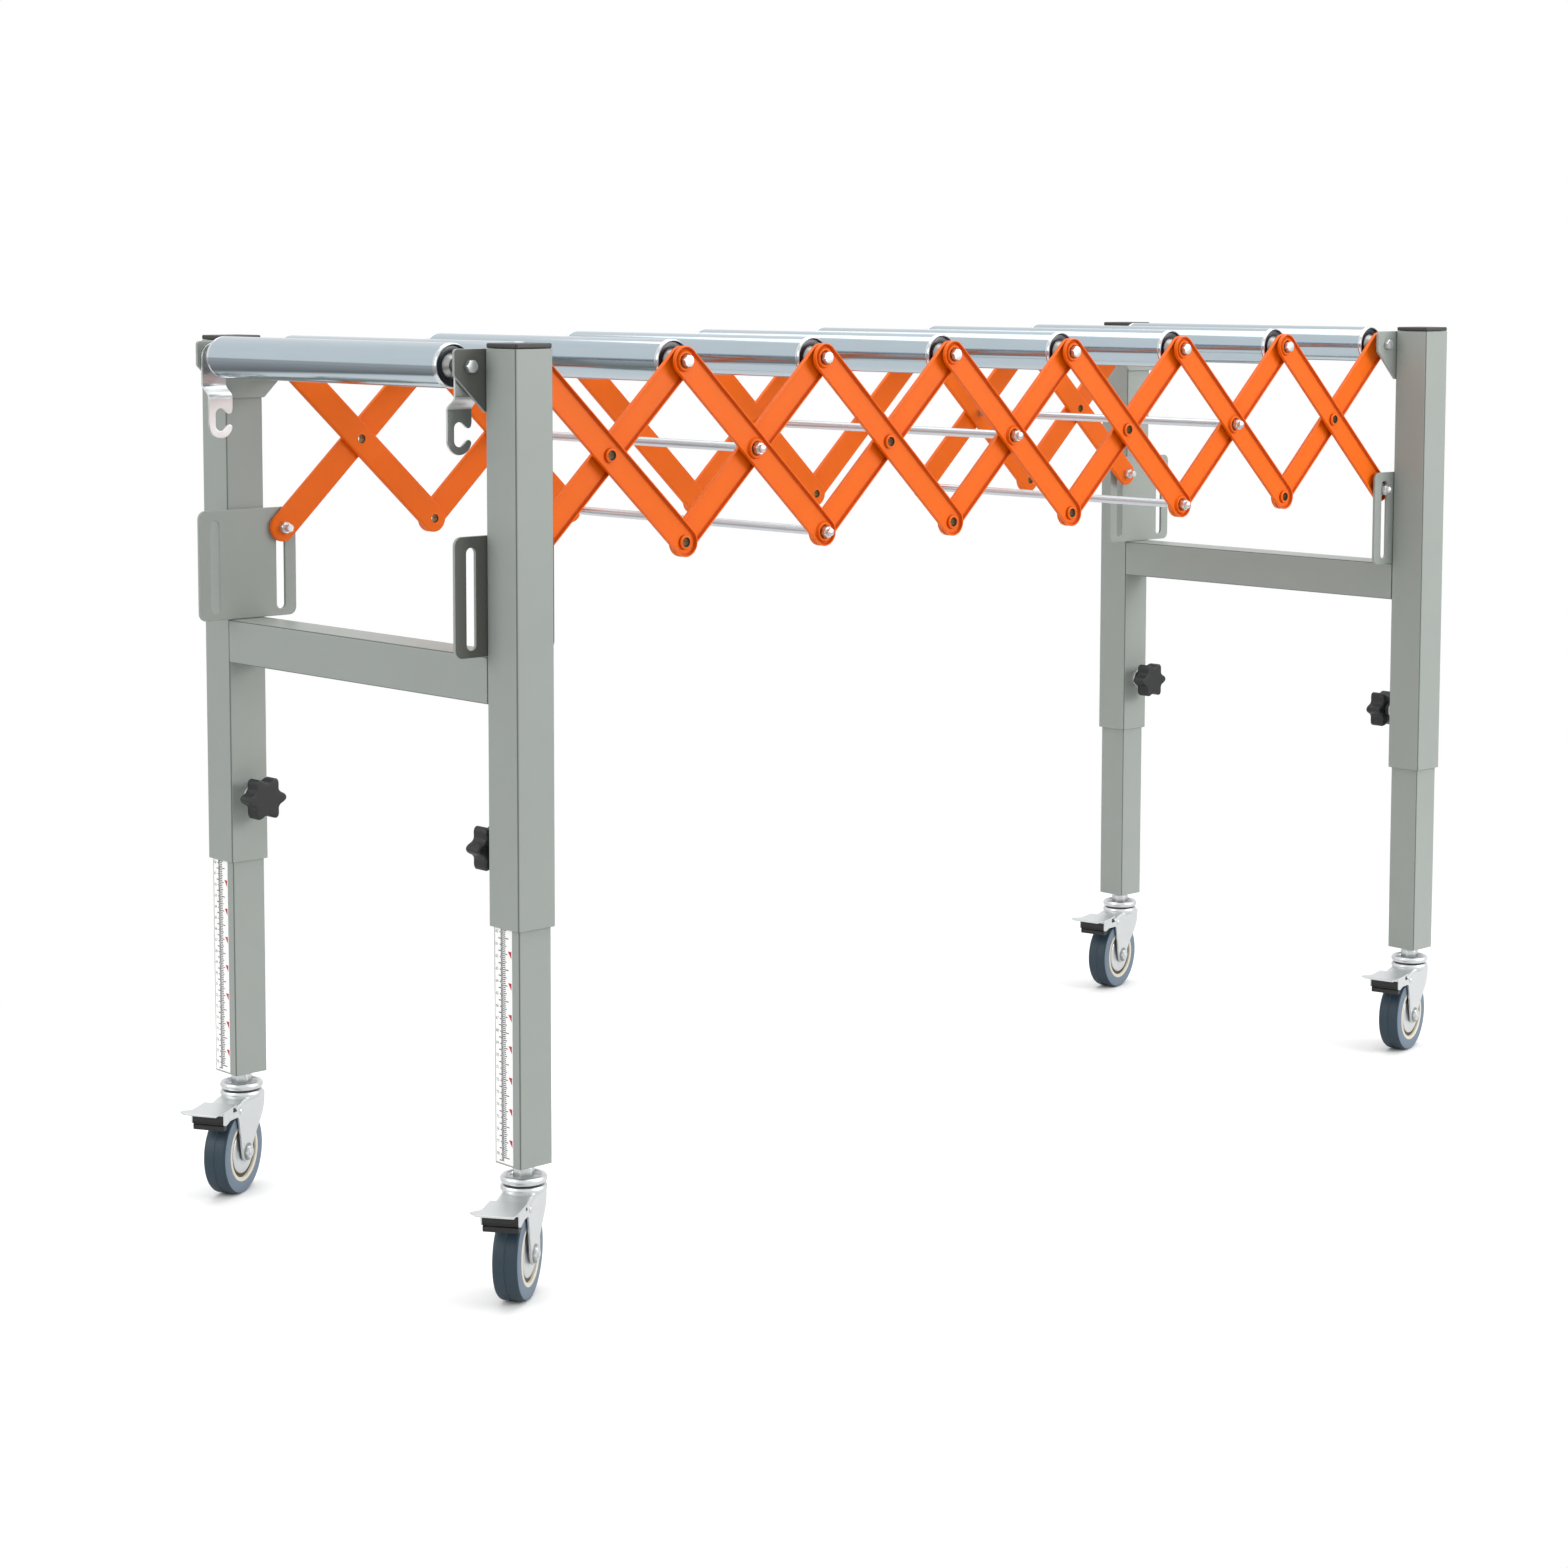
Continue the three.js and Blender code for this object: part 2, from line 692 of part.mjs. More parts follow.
function pedal() {
  const cheekIn = forkOuterOut + runGap;
  const cheekOut = cheekIn + pedalSheet;
  const topZ = pedalPivotHeight + pedalTopRise;
  const sheet = new THREE.Shape([
    new THREE.Vector2(-pedalRear, topZ),
    new THREE.Vector2(-blockFront, topZ - pedalDip),
    new THREE.Vector2(-pedalReach, topZ),
    new THREE.Vector2(-pedalReach, topZ - pedalSheet),
    new THREE.Vector2(-blockFront, topZ - pedalDip - pedalSheet),
    new THREE.Vector2(-pedalRear, topZ - pedalSheet),
  ]);
  const inSheet = topZ - (pedalDip + pedalSheet) / 2;
  const cheek = roundedRectangle(-blockFront, -cheekRear, topZ - cheekHeight, inSheet, pedalSheet);
  return slab(sheet, -cheekOut, cheekOut)
    .add(slab(cheek, -cheekOut, -cheekIn, cornerSteps))
    .add(slab(cheek, cheekIn, cheekOut, cornerSteps))
    .add(block(-blockFront, -blockStep, -cheekIn - pedalSheet / 2, cheekIn + pedalSheet / 2,
      topZ - blockHeight, inSheet))
    .add(block(-blockStep - pedalSheet, -blockRear, -blockHalfWidth, blockHalfWidth,
      topZ - blockHeight, inSheet))
    .add(rod(pedalPinRadius, boltSides, -cheekIn - pedalSheet / 2, cheekIn + pedalSheet / 2,
      -pedalPivotBack, pedalPivotHeight));
}

// Hook: hangs on the outer axle, is joggled inwards under the roller and ends in an open C.
function hook(side) {
  const sign = signOf[side];
  const upperOut = plateInnerOut - runGap - hookSheet;
  const lowerOut = upperOut - hookJoggle;
  const half = hookWidth / 2;
  const section = new THREE.Shape([
    new THREE.Vector2(upperOut + hookSheet, half),
    new THREE.Vector2(upperOut, half),
    new THREE.Vector2(upperOut, -hookJoggleTop),
    new THREE.Vector2(lowerOut, -hookJoggleBottom),
    new THREE.Vector2(lowerOut, -hookDrop),
    new THREE.Vector2(lowerOut + hookSheet, -hookDrop),
    new THREE.Vector2(lowerOut + hookSheet, -hookJoggleBottom - hookSheet / 2),
    new THREE.Vector2(upperOut + hookSheet, -hookJoggleTop - hookSheet / 2),
  ].reverse());
  const strip = new THREE.ExtrudeGeometry(section, { depth: hookWidth, bevelEnabled: false });
  strip.translate(0, 0, -half);
  strip.rotateX(Math.PI / 2);
  strip.rotateZ(sign * Math.PI / 2);
  const outline = new THREE.Shape();
  outline.absarc(0, 0, half, 0, Math.PI);
  outline.absarc(0, half - hookDrop, half, Math.PI, 2 * Math.PI);
  outline.closePath();
  const mouth = new THREE.Shape();
  const mouthX = hookBackWidth - half;
  const mouthRadius = hookMouthWidth / 2;
  const mouthLow = hookBackWidth + mouthRadius - hookDrop;
  mouth.absarc(mouthX + mouthRadius, mouthLow + hookMouthHeight, mouthRadius, 0, Math.PI);
  mouth.absarc(mouthX + mouthRadius, mouthLow, mouthRadius, Math.PI, 2 * Math.PI);
  mouth.closePath();
  const gate = block(0, half + cutOverrun, sign * (lowerOut - hookJoggle), sign * (upperOut + hookJoggle),
    mouthLow, mouthLow + hookMouthHeight);
  const span = [sign * (lowerOut - cutOverrun), sign * (upperOut + hookSheet + cutOverrun)];
  return solid(strip)
    .intersect(slab(outline, ...span))
    .subtract(slab(mouth, ...span))
    .subtract(gate)
    .subtract(rod(holeRadius(boltRadius, boltSides), boltSides, ...span));
}

function addCaster(name, x, y) {
  const turnZ = casterAngles[name];
  const wheelX = x - wheelTrail * Math.cos(turnZ);
  const wheelY = y - wheelTrail * Math.sin(turnZ);
  addPiece(`${name}_caster_head`, casterHead(), 'zinc', { x, y, turnZ });
  addPiece(`${name}_fork`, fork(), 'zinc', { x, y, turnZ });
  addPiece(`${name}_wheel`, wheel(), 'tyre', { x: wheelX, y: wheelY, z: wheelRadius, turnZ });
  addPiece(`${name}_brake_pedal`, pedal(), 'zinc', { x, y, turnZ });
}

for (const [end, direction] of [['left', -1], ['right', 1]]) {
  const x = direction * postX;
  for (const [side, sign] of Object.entries(signOf)) {
    const name = `${end}_${side}`;
    const y = sign * postOut;
    addPiece(`${name}_post`, post(side, name === 'left_near'), 'frame', { x });
    addPiece(`${name}_cap`, cap(), 'black', { x, y, z: tubeTopZ + seatGap });
    addPiece(`${name}_leg`, leg(), 'frame', { x, y });
    addPiece(`${name}_knob`, knob(side), 'black', { x, z: knobZ });
    addCaster(name, x, y);
  }
  addPiece(`${end}_crossbar`, crossbar(), 'frame', { x });
}

for (const side of Object.keys(signOf)) {
  addPiece(`${side}_hook`, hook(side), 'zinc', { x: rollerXs[0], z: pivotZ });
}

export default conveyor;
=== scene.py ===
import math

import bmesh
import bpy
from mathutils import Matrix, Vector


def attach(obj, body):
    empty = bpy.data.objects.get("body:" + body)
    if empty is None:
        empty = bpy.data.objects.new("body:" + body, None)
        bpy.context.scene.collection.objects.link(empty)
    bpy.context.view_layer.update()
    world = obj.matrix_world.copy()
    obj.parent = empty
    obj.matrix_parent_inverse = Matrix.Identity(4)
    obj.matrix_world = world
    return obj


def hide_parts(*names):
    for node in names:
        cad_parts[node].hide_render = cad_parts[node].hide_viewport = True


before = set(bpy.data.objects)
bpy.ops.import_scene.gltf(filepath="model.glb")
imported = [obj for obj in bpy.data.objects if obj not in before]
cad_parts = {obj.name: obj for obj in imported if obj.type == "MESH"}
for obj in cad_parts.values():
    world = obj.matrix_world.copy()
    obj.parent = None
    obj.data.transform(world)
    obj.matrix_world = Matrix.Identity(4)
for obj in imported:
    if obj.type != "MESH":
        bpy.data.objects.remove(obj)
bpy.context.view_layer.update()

# Millimetres here, as in the part's source. Meshes are scaled to metres as they are made.
MM = 0.001

# Sizes that the solids also have. Z is up from the floor. Sizes along Y are out from the middle, on both sides.
ROLLER_TOP = 760
ROLLER_R = 18
CELLS = 7
LINK = 221
LINK_ANGLE = math.radians(43.1)
PITCH = LINK * math.cos(LINK_ANGLE)
DROP = LINK * math.sin(LINK_ANGLE)
LINK_RADIUS = 12.5
LINK_DEPTH = 4.5
LINK_SHEET = 1.5
PIVOT_Z = ROLLER_TOP - ROLLER_R
FIRST_X = -CELLS * PITCH / 2
# Pivots and slots lie this far before and behind a post
PIVOT_REACH = 34
POST_X = CELLS * PITCH / 2 + PIVOT_REACH
POST_OUT = 201
POST_LENGTH = 458
TUBE = 38
TUBE_TOP = ROLLER_TOP - 4.3
TUBE_END = TUBE_TOP - POST_LENGTH
LEG = 33
LEG_SHOWN, LEG_HIDDEN = 192, 110
LEG_END = TUBE_END - LEG_SHOWN
LEG_TOP = TUBE_END + LEG_HIDDEN
# The layers along Y, from the frame inwards: the plates, the link layers' inner faces, and the rollers
INNER_FACE = 182
PLATE_IN = 179
OUTER_LINK = 173.5
INNER_LINK = 168.4
ROLLER_END = 161.8
# Where the heads and nuts sit on the links and on the frames
BOLT_HEAD = 177.8
FRAME_HEAD = 182.3
PIVOT_HOLE = 4.35
ROD_RADIUS = 3.9
HEX_RADIUS = 5.7
SLOT_WIDTH = 9
SLOT_LENGTH = 81
PIN_BELOW_SLOT_TOP = 9
SLOT_TOP = PIVOT_Z - DROP + PIN_BELOW_SLOT_TOP
SLOT_BELOW_PLATE_TOP = 9
PLATE_HEIGHT = 96
PLATE_TOP = SLOT_TOP + SLOT_BELOW_PLATE_TOP
PLATE_BOTTOM = PLATE_TOP - PLATE_HEIGHT
# Solids that touch or are welded on the real object stand this far apart
GAP = 0.3
CROSSBAR_TOP = PLATE_BOTTOM - GAP
KNOB_Z = TUBE_END + 58
KNOB_NUT = 5
WHEEL_R = 37.5
TRAIL = 18
FORK_IN, FORK_OUT = 12.2, 14.4
SIDES = {"near": -1, "far": 1}
ENDS = {"left": -1, "right": 1}
# How far each caster is swivelled in the photograph, in degrees
CASTERS = {"left_near": 35, "left_far": 30, "right_near": 13, "right_far": 12.5}

collection = bpy.context.scene.collection


# Materials
def linear(colour):
    """A scene colour from one of 0 to 255 as it looks on a screen."""
    return [c / 12.92 if c <= 0.04045 else ((c + 0.055) / 1.055) ** 2.4 for c in (v / 255 for v in colour)] + [1]


BUMP_HEIGHT = 0.4 * MM


def add_node(nodes, kind, operation=None, **inputs):
    """A new shader node with some inputs set. An underscore stands for a space in an input's name."""
    made = nodes.new("ShaderNode" + kind)
    if operation:
        made.operation = operation
    for name, value in inputs.items():
        made.inputs[name.replace("_", " ")].default_value = value
    return made


def material(name, colour, rough, metal=0.0, peel=0.1, peel_scale=900, stain=0.05, stain_scale=25,
             rough_play=0.06, stretch=(1, 1, 1), gloss=0.5):
    """A material whose tone and roughness drift by stain and rough_play, with a fine bump of strength peel."""
    m = bpy.data.materials.new(name)
    m.use_nodes = True
    nodes, links = m.node_tree.nodes, m.node_tree.links
    shader = nodes["Principled BSDF"]
    shader.inputs["Metallic"].default_value = metal
    shader.inputs["Specular IOR Level"].default_value = gloss
    where = add_node(nodes, "TexCoord")
    mapping = add_node(nodes, "Mapping", Scale=stretch)
    links.new(where.outputs["Object"], mapping.inputs["Vector"])
    broad = add_node(nodes, "TexNoise", Scale=stain_scale, Detail=5)
    links.new(mapping.outputs["Vector"], broad.inputs["Vector"])
    tone = add_node(nodes, "Mix")
    tone.data_type = "RGBA"
    base = linear(colour)
    tone.inputs["A"].default_value = [c * (1 - stain) for c in base[:3]] + [1]
    tone.inputs["B"].default_value = [min(1, c * (1 + stain)) for c in base[:3]] + [1]
    links.new(broad.outputs["Fac"], tone.inputs["Factor"])
    links.new(tone.outputs["Result"], shader.inputs["Base Color"])
    spread = add_node(nodes, "MapRange", To_Min=rough - rough_play, To_Max=rough + rough_play)
    links.new(broad.outputs["Fac"], spread.inputs["Value"])
    links.new(spread.outputs["Result"], shader.inputs["Roughness"])
    fine = add_node(nodes, "TexNoise", Scale=peel_scale, Detail=2)
    links.new(mapping.outputs["Vector"], fine.inputs["Vector"])
    bump = add_node(nodes, "Bump", Strength=peel, Distance=BUMP_HEIGHT)
    links.new(fine.outputs["Fac"], bump.inputs["Height"])
    links.new(bump.outputs["Normal"], shader.inputs["Normal"])
    return m


# Below, the material for a tube's rounded corners is a painted dark reflection, and SHADE and SHADED_ZINC are painted
# shade: they lie in the shade in the photograph.
GREY = material("grey_paint", (149, 155, 150), 0.4, peel=0.08, peel_scale=700, stain=0.03, gloss=0.45)
PAINTED_CORNER_REFLECTION = material("painted_corner_reflection", (104, 109, 105), 0.5, peel=0.05, stain=0.05, gloss=0.3)
SHADE = material("shaded_paint", (92, 94, 89), 0.5, peel=0.08, peel_scale=700, stain=0.04, gloss=0.3)
ORANGE = material("orange_paint", (229, 100, 4), 0.4, peel=0.08, peel_scale=800, stain=0.06, gloss=0.2)
# Painted shade: a darker orange for the inner walls of the links' flanges, the recesses round the bolts and the sides
# of the rivets' rings.
ORANGE_PAINTED_SHADE = material("orange_painted_shade", (202, 80, 4), 0.5, peel=0.05, peel_scale=800, stain=0.08, gloss=0.2)
ZINC = material("bright_zinc", (214, 217, 218), 0.34, metal=0.92, peel=0.015, peel_scale=500, stain=0.04,
                stain_scale=40, rough_play=0.04)
ROD = material("rod_zinc", (206, 210, 214), 0.36, metal=1.0, peel=0.01, peel_scale=150, stain=0.03,
               stain_scale=30, rough_play=0.03)
SHADED_ZINC = material("shaded_zinc", (150, 153, 152), 0.4, metal=1.0, peel=0.015, peel_scale=500, stain=0.05,
                       stain_scale=40)
BORE = material("rivet_bore", (150, 118, 72), 0.36, metal=0.6, peel=0.05, peel_scale=900, stain=0.1,
                stain_scale=120)
ROLLER = material("roller_steel", (180, 193, 201), 0.13, metal=1.0, peel=0.008, peel_scale=120, stain=0.04,
                  stain_scale=30, rough_play=0.03, stretch=(6, 0.6, 6))
RIM = material("rim_steel", (214, 218, 220), 0.16, metal=1.0, peel=0.01, peel_scale=300, stain=0.04,
               stain_scale=80, rough_play=0.04)
SEAL = material("bearing_seal", (30, 37, 48), 0.35, peel=0.05, stain=0.1, stain_scale=120)
HUB = material("hub_steel", (164, 165, 163), 0.34, metal=1.0, peel=0.03, peel_scale=600, stain=0.06, stain_scale=90)
PLASTIC = material("black_plastic", (22, 23, 24), 0.5, peel=0.15, peel_scale=1500, stain=0.1)
CAP = material("cap_plastic", (50, 50, 48), 0.5, peel=0.1, peel_scale=1500, stain=0.1)
# Painted shade: near black for the mouths of the hollow rivets and for the gap of the casters' ball race.
DARK_PAINTED_SHADE = material("dark_painted_shade", (30, 26, 24), 0.7, peel=0.1, stain=0.1)
# The tread's strong streaks of tone round the wheel are painted highlights.
TREAD = material("tyre_tread", (32, 53, 66), 0.5, peel=0.12, peel_scale=500, stain=0.22, stain_scale=90,
                 stretch=(0.4, 3, 0.4))
TYRE_SIDE = material("tyre_side", (102, 117, 132), 0.55, peel=0.1, peel_scale=1200, stain=0.06)
CORE = material("cream_core", (206, 200, 184), 0.5, peel=0.06, stain=0.06)
GROOVE = material("wheel_groove", (66, 58, 42), 0.55, peel=0.1, stain=0.15)
WHITE = material("sticker_white", (249, 249, 248), 0.4, peel=0.03, peel_scale=300, stain=0.02)
INK = material("sticker_ink", (30, 32, 36), 0.5, peel=0.03, peel_scale=300, stain=0.1)
RED = material("sticker_red", (180, 22, 34), 0.5, peel=0.03, peel_scale=300, stain=0.08)


# Mesh helpers
def dress(obj, mat, angle=40, weighted=True):
    """Gives an object its materials and smooth faces, with sharp edges above an angle in degrees."""
    mesh = obj.data
    mesh.materials.clear()
    for m in mat if isinstance(mat, (list, tuple)) else [mat]:
        mesh.materials.append(m)
    mesh.polygons.foreach_set("use_smooth", [True] * len(mesh.polygons))
    mesh.set_sharp_from_angle(angle=math.radians(angle))
    if weighted:
        mod = obj.modifiers.new("normals", "WEIGHTED_NORMAL")
        mod.keep_sharp = True
    return obj


def new_object(name, mesh, place=None):
    obj = bpy.data.objects.new(name, mesh)
    collection.objects.link(obj)
    if place is not None:
        obj.matrix_world = place
    return obj


def clean(mesh, shape=None):
    """Merges a mesh's double points and turns its faces outwards. shape is a change made in between."""
    bm = bmesh.new()
    bm.from_mesh(mesh)
    bmesh.ops.remove_doubles(bm, verts=bm.verts, dist=1e-7)
    if shape:
        shape(bm)
    bmesh.ops.recalc_face_normals(bm, faces=bm.faces)
    bm.to_mesh(mesh)
    bm.free()


def evaluated(obj):
    """A mesh of what an object's modifier, curve or text makes."""
    bpy.context.view_layer.update()
    return bpy.data.meshes.new_from_object(obj.evaluated_get(bpy.context.evaluated_depsgraph_get()))


def mesh_of(name, data):
    """A mesh of a curve or a text."""
    rough = new_object(name, data)
    mesh = evaluated(rough)
    bpy.data.objects.remove(rough)
    return mesh


def from_parts(name, verts, faces, mat, place=None, angle=40, weighted=True, tags=None):
    """An object from points in millimetres. tags gives the material's number for a face's middle."""
    mesh = bpy.data.meshes.new(name)
    mesh.from_pydata([tuple(c * MM for c in v) for v in verts], [], faces)
    clean(mesh)
    obj = dress(new_object(name, mesh, place), mat, angle, weighted)
    if tags:
        for face in mesh.polygons:
            face.material_index = tags(face.center / MM)
    return obj


def copy_of(obj, name, place):
    """Another object with the same mesh and the same weighted normals."""
    twin = new_object(name, obj.data, place)
    for mod in obj.modifiers:
        twin.modifiers.new(mod.name, mod.type).keep_sharp = True
    return twin


def at(x=0, y=0, z=0, turn_z=0, turn_y=0):
    """A place in metres from millimetres, with turns in radians."""
    m = Matrix.Translation((x * MM, y * MM, z * MM))
    return m @ Matrix.Rotation(turn_z, 4, "Z") @ Matrix.Rotation(turn_y, 4, "Y")


def corner_at(corner):
    """X and Y of a corner's post, such as left_near."""
    end, side = corner.split("_")
    return ENDS[end] * POST_X, SIDES[side] * POST_OUT


def arc(cx, cz, radius, start, end, steps):
    """Points of an arc between two angles in degrees."""
    return [(cx + radius * math.cos(math.radians(start + (end - start) * i / steps)),
             cz + radius * math.sin(math.radians(start + (end - start) * i / steps))) for i in range(steps + 1)]


def rounded(points, radii, steps=5):
    """A polygon with each corner rounded by its own radius."""
    if not isinstance(radii, (list, tuple)):
        radii = [radii] * len(points)
    made = []
    count = len(points)
    for i, (point, radius) in enumerate(zip(points, radii)):
        p = Vector(point)
        a = (Vector(points[i - 1]) - p).normalized()
        b = (Vector(points[(i + 1) % count]) - p).normalized()
        half = a.angle(b) / 2
        reach = radius / math.tan(half)
        start, end = p + a * reach, p + b * reach
        centre = p + (a + b).normalized() * (radius / math.sin(half))
        u, v = start - centre, end - centre
        total = u.angle_signed(v)
        for s in range(steps + 1):
            made.append(tuple(centre + Matrix.Rotation(-total * s / steps, 2) @ u))
    return made


def box_outline(x0, x1, z0, z1, radius, steps=5):
    """A rectangle with rounded corners."""
    return rounded([(x0, z0), (x1, z0), (x1, z1), (x0, z1)], radius, steps)


def circle(cx, cz, radius, steps=24):
    """A closed circle, so the last point stops short of the first."""
    return arc(cx, cz, radius, 0, 360 * (steps - 1) / steps, steps - 1)


FACING = {
    "Z": Matrix.Identity(4),
    "Y": Matrix(((1, 0, 0, 0), (0, 0, 1, 0), (0, 1, 0, 0), (0, 0, 0, 1))),
    "X": Matrix(((0, 0, 1, 0), (1, 0, 0, 0), (0, 1, 0, 0), (0, 0, 0, 1))),
}


def plate(name, outline, holes, low, high, edge, mat, axis="Y", place=None, steps=2, angle=40, shape=None):
    """A plate with rounded edges and holes, drawn across an axis between two heights along it.
    Across Y the outline is (x, z), across Z (x, y) and across X (y, z). shape is a change to the finished mesh."""
    curve = bpy.data.curves.new(name, "CURVE")
    curve.dimensions = "2D"
    curve.fill_mode = "BOTH"
    for points in [outline, *holes]:
        spline = curve.splines.new("POLY")
        spline.points.add(len(points) - 1)
        for target, (a, b) in zip(spline.points, points):
            target.co = (a * MM, b * MM, 0, 1)
        spline.use_cyclic_u = True
    curve.extrude = (abs(high - low) / 2 - edge) * MM
    curve.bevel_depth = edge * MM
    curve.bevel_resolution = steps
    curve.offset = -edge * MM
    mesh = mesh_of(name, curve)
    bpy.data.curves.remove(curve)
    mesh.name = name
    mesh.transform(Matrix.Translation((0, 0, (low + high) / 2 * MM)))
    mesh.transform(FACING[axis])
    clean(mesh, shape)
    return dress(new_object(name, mesh, place), mat, angle)


def turned(levels, steps, closed=False):
    """Points and faces about Y from levels of (reach, height). A reach is a radius or, where the shape isn't round,
    a function of the turn. A reach of 0 makes a pole."""
    verts, rings, faces = [], [], []
    for reach, height in levels:
        if reach == 0:
            rings.append([len(verts)])
            verts.append((0, height, 0))
            continue
        rings.append(range(len(verts), len(verts) + steps))
        for i in range(steps):
            turn = 2 * math.pi * i / steps
            radius = reach(turn) if callable(reach) else reach
            verts.append((radius * math.cos(turn), height, radius * math.sin(turn)))
    if closed:
        rings.append(rings[0])
    for a, b in zip(rings, rings[1:]):
        for i in range(steps):
            j = (i + 1) % steps
            if len(a) == 1:
                faces.append((a[0], b[i], b[j]))
            elif len(b) == 1:
                faces.append((a[i], b[0], a[j]))
            else:
                faces.append((a[i], b[i], b[j], a[j]))
    return verts, faces


def lathe(name, profile, mat, steps=48, place=None, angle=35, tags=None, closed=False):
    """A profile of (radius, height) turned about Y."""
    verts, faces = turned(profile, steps, closed)
    return from_parts(name, verts, faces, mat, place, angle, True, tags)


def hexagon(name, radius, low, high, mat, place=None, dome=0.0):
    """A hex head or nut about Y, chamfered towards its high end."""
    way = 1 if high > low else -1
    sector = math.pi / 3
    across = radius * math.cos(sector / 2)

    def six_sided(turn):
        return across / math.cos(turn % sector - sector / 2)

    levels = [(0, low), (six_sided, low), (six_sided, high - way * radius * 0.16), (across * 0.97, high),
              (0, high + way * dome)]
    verts, faces = turned(levels, 24)
    return from_parts(name, verts, faces, mat, place, 30, False)


def sheet(name, rows, mat):
    """A bent sheet from rows across it. Each row holds the points of its top and then as many of its underside."""
    n = len(rows[0]) // 2
    faces = []
    for row in range(len(rows) - 1):
        a, b = row * 2 * n, (row + 1) * 2 * n
        for i in range(n - 1):
            faces.append((a + i, b + i, b + i + 1, a + i + 1))
            faces.append((a + n + i, a + n + i + 1, b + n + i + 1, b + n + i))
        for i in (0, n - 1):
            faces.append((a + i, a + n + i, b + n + i, b + i))
    for a in (0, (len(rows) - 1) * 2 * n):
        for i in range(n - 1):
            faces.append((a + i, a + i + 1, a + n + i + 1, a + n + i))
    return from_parts(name, [point for row in rows for point in row], faces, mat)


def join(name, pieces, place=None):
    """Joins pieces into one object. Each keeps its place and its materials."""
    mats, verts, faces, slots = [], [], [], []
    for piece in pieces:
        base = len(verts)
        for m in piece.data.materials:
            if m not in mats:
                mats.append(m)
        matrix = piece.matrix_world.copy()
        verts += [matrix @ v.co for v in piece.data.vertices]
        for face in piece.data.polygons:
            faces.append([base + i for i in face.vertices])
            slots.append(mats.index(piece.data.materials[face.material_index]))
    for piece in pieces:
        data = piece.data
        bpy.data.objects.remove(piece)
        if data.users == 0:
            bpy.data.meshes.remove(data)
    mesh = bpy.data.meshes.new(name)
    mesh.from_pydata([tuple(v) for v in verts], [], faces)
    obj = dress(new_object(name, mesh, place), mats, 38)
    mesh.polygons.foreach_set("material_index", slots)
    return obj


def put(obj, body, slot, *nodes):
    """Puts a piece on its body, and in the place of the solids that it replaces. slot, a colour slot, is not used."""
    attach(obj, body)
    if nodes:
        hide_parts(*nodes)
    return obj


# Rollers
def roller_model():
    """A tube with rolled rims and, at each end, a bearing's seal and a cone hub."""
    end, r = ROLLER_END, ROLLER_R
    lip = [(r, end - 4.0), (r - 0.5, end - 3.5), (r - 0.5, end - 3.0), (r - 0.05, end - 2.5), (r - 0.05, end - 1.2),
           (r - 0.35, end - 0.4), (r - 0.95, end), (r - 1.5, end - 0.2), (r - 1.8, end - 0.8), (r - 1.8, end - 3.0)]
    shell = lathe("shell", [(a, -b) for a, b in reversed(lip)] + lip, [ROLLER, RIM], 64, angle=35,
                  tags=lambda c: 0 if abs(c.y) < end - 4.0 else 1)
    parts = [shell]
    for s in (-1, 1):
        parts.append(lathe("seal", [(16.3, s * (end - 2.6)), (15.2, s * (end - 2.0)), (11.6, s * (end - 1.8)),
                                    (10.6, s * (end - 2.2)), (9.0, s * (end - 2.2))], SEAL, 48))
        parts.append(lathe("cone", [(10.4, s * (end - 2.3)), (10.1, s * (end - 1.4)), (7.7, s * (end + 1.6)),
                                    (6.8, s * (end + 2.6)), (6.6, s * (end + 5.9)), (0, s * (end + 5.9))], HUB, 40))
    return join("roller_model", parts)


ROLLER_X = [FIRST_X - 2 * PIVOT_REACH] + [FIRST_X + k * PITCH for k in range(CELLS + 1)]
model = roller_model()
for k, x in enumerate(ROLLER_X):
    name = f"roller_{k + 1}"
    put(copy_of(model, name + "_look", at(x, 0, PIVOT_Z)), name, "zinc", name)


# Scissor links
def inset_of(centre):
    """How far a point lies inside the link's outline."""
    x = min(max(centre.x, 0), LINK)
    return LINK_RADIUS - math.hypot(centre.x - x, centre.z)


def ring_outline(inset, steps=14):
    """The link's outline, moved inwards by inset."""
    r = LINK_RADIUS - inset
    left = arc(0, 0, r, 90, 270, steps)
    right = arc(LINK, 0, r, -90, 90, steps)
    return left + right


def drill(obj, places, radius, low, high):
    """Cuts round holes along Y through an object."""
    for x in places:
        tool = lathe("drill", [(0, low), (radius, low), (radius, high), (0, high)], obj.data.materials[0], 28)
        tool.matrix_world = at(x)
        mod = obj.modifiers.new("hole", "BOOLEAN")
        mod.operation = "DIFFERENCE"
        mod.solver = "EXACT"
        mod.object = tool
        mesh = evaluated(obj)
        old = obj.data
        obj.modifiers.remove(mod)
        obj.data = mesh
        bpy.data.meshes.remove(old)
        bpy.data.objects.remove(tool)
    return obj


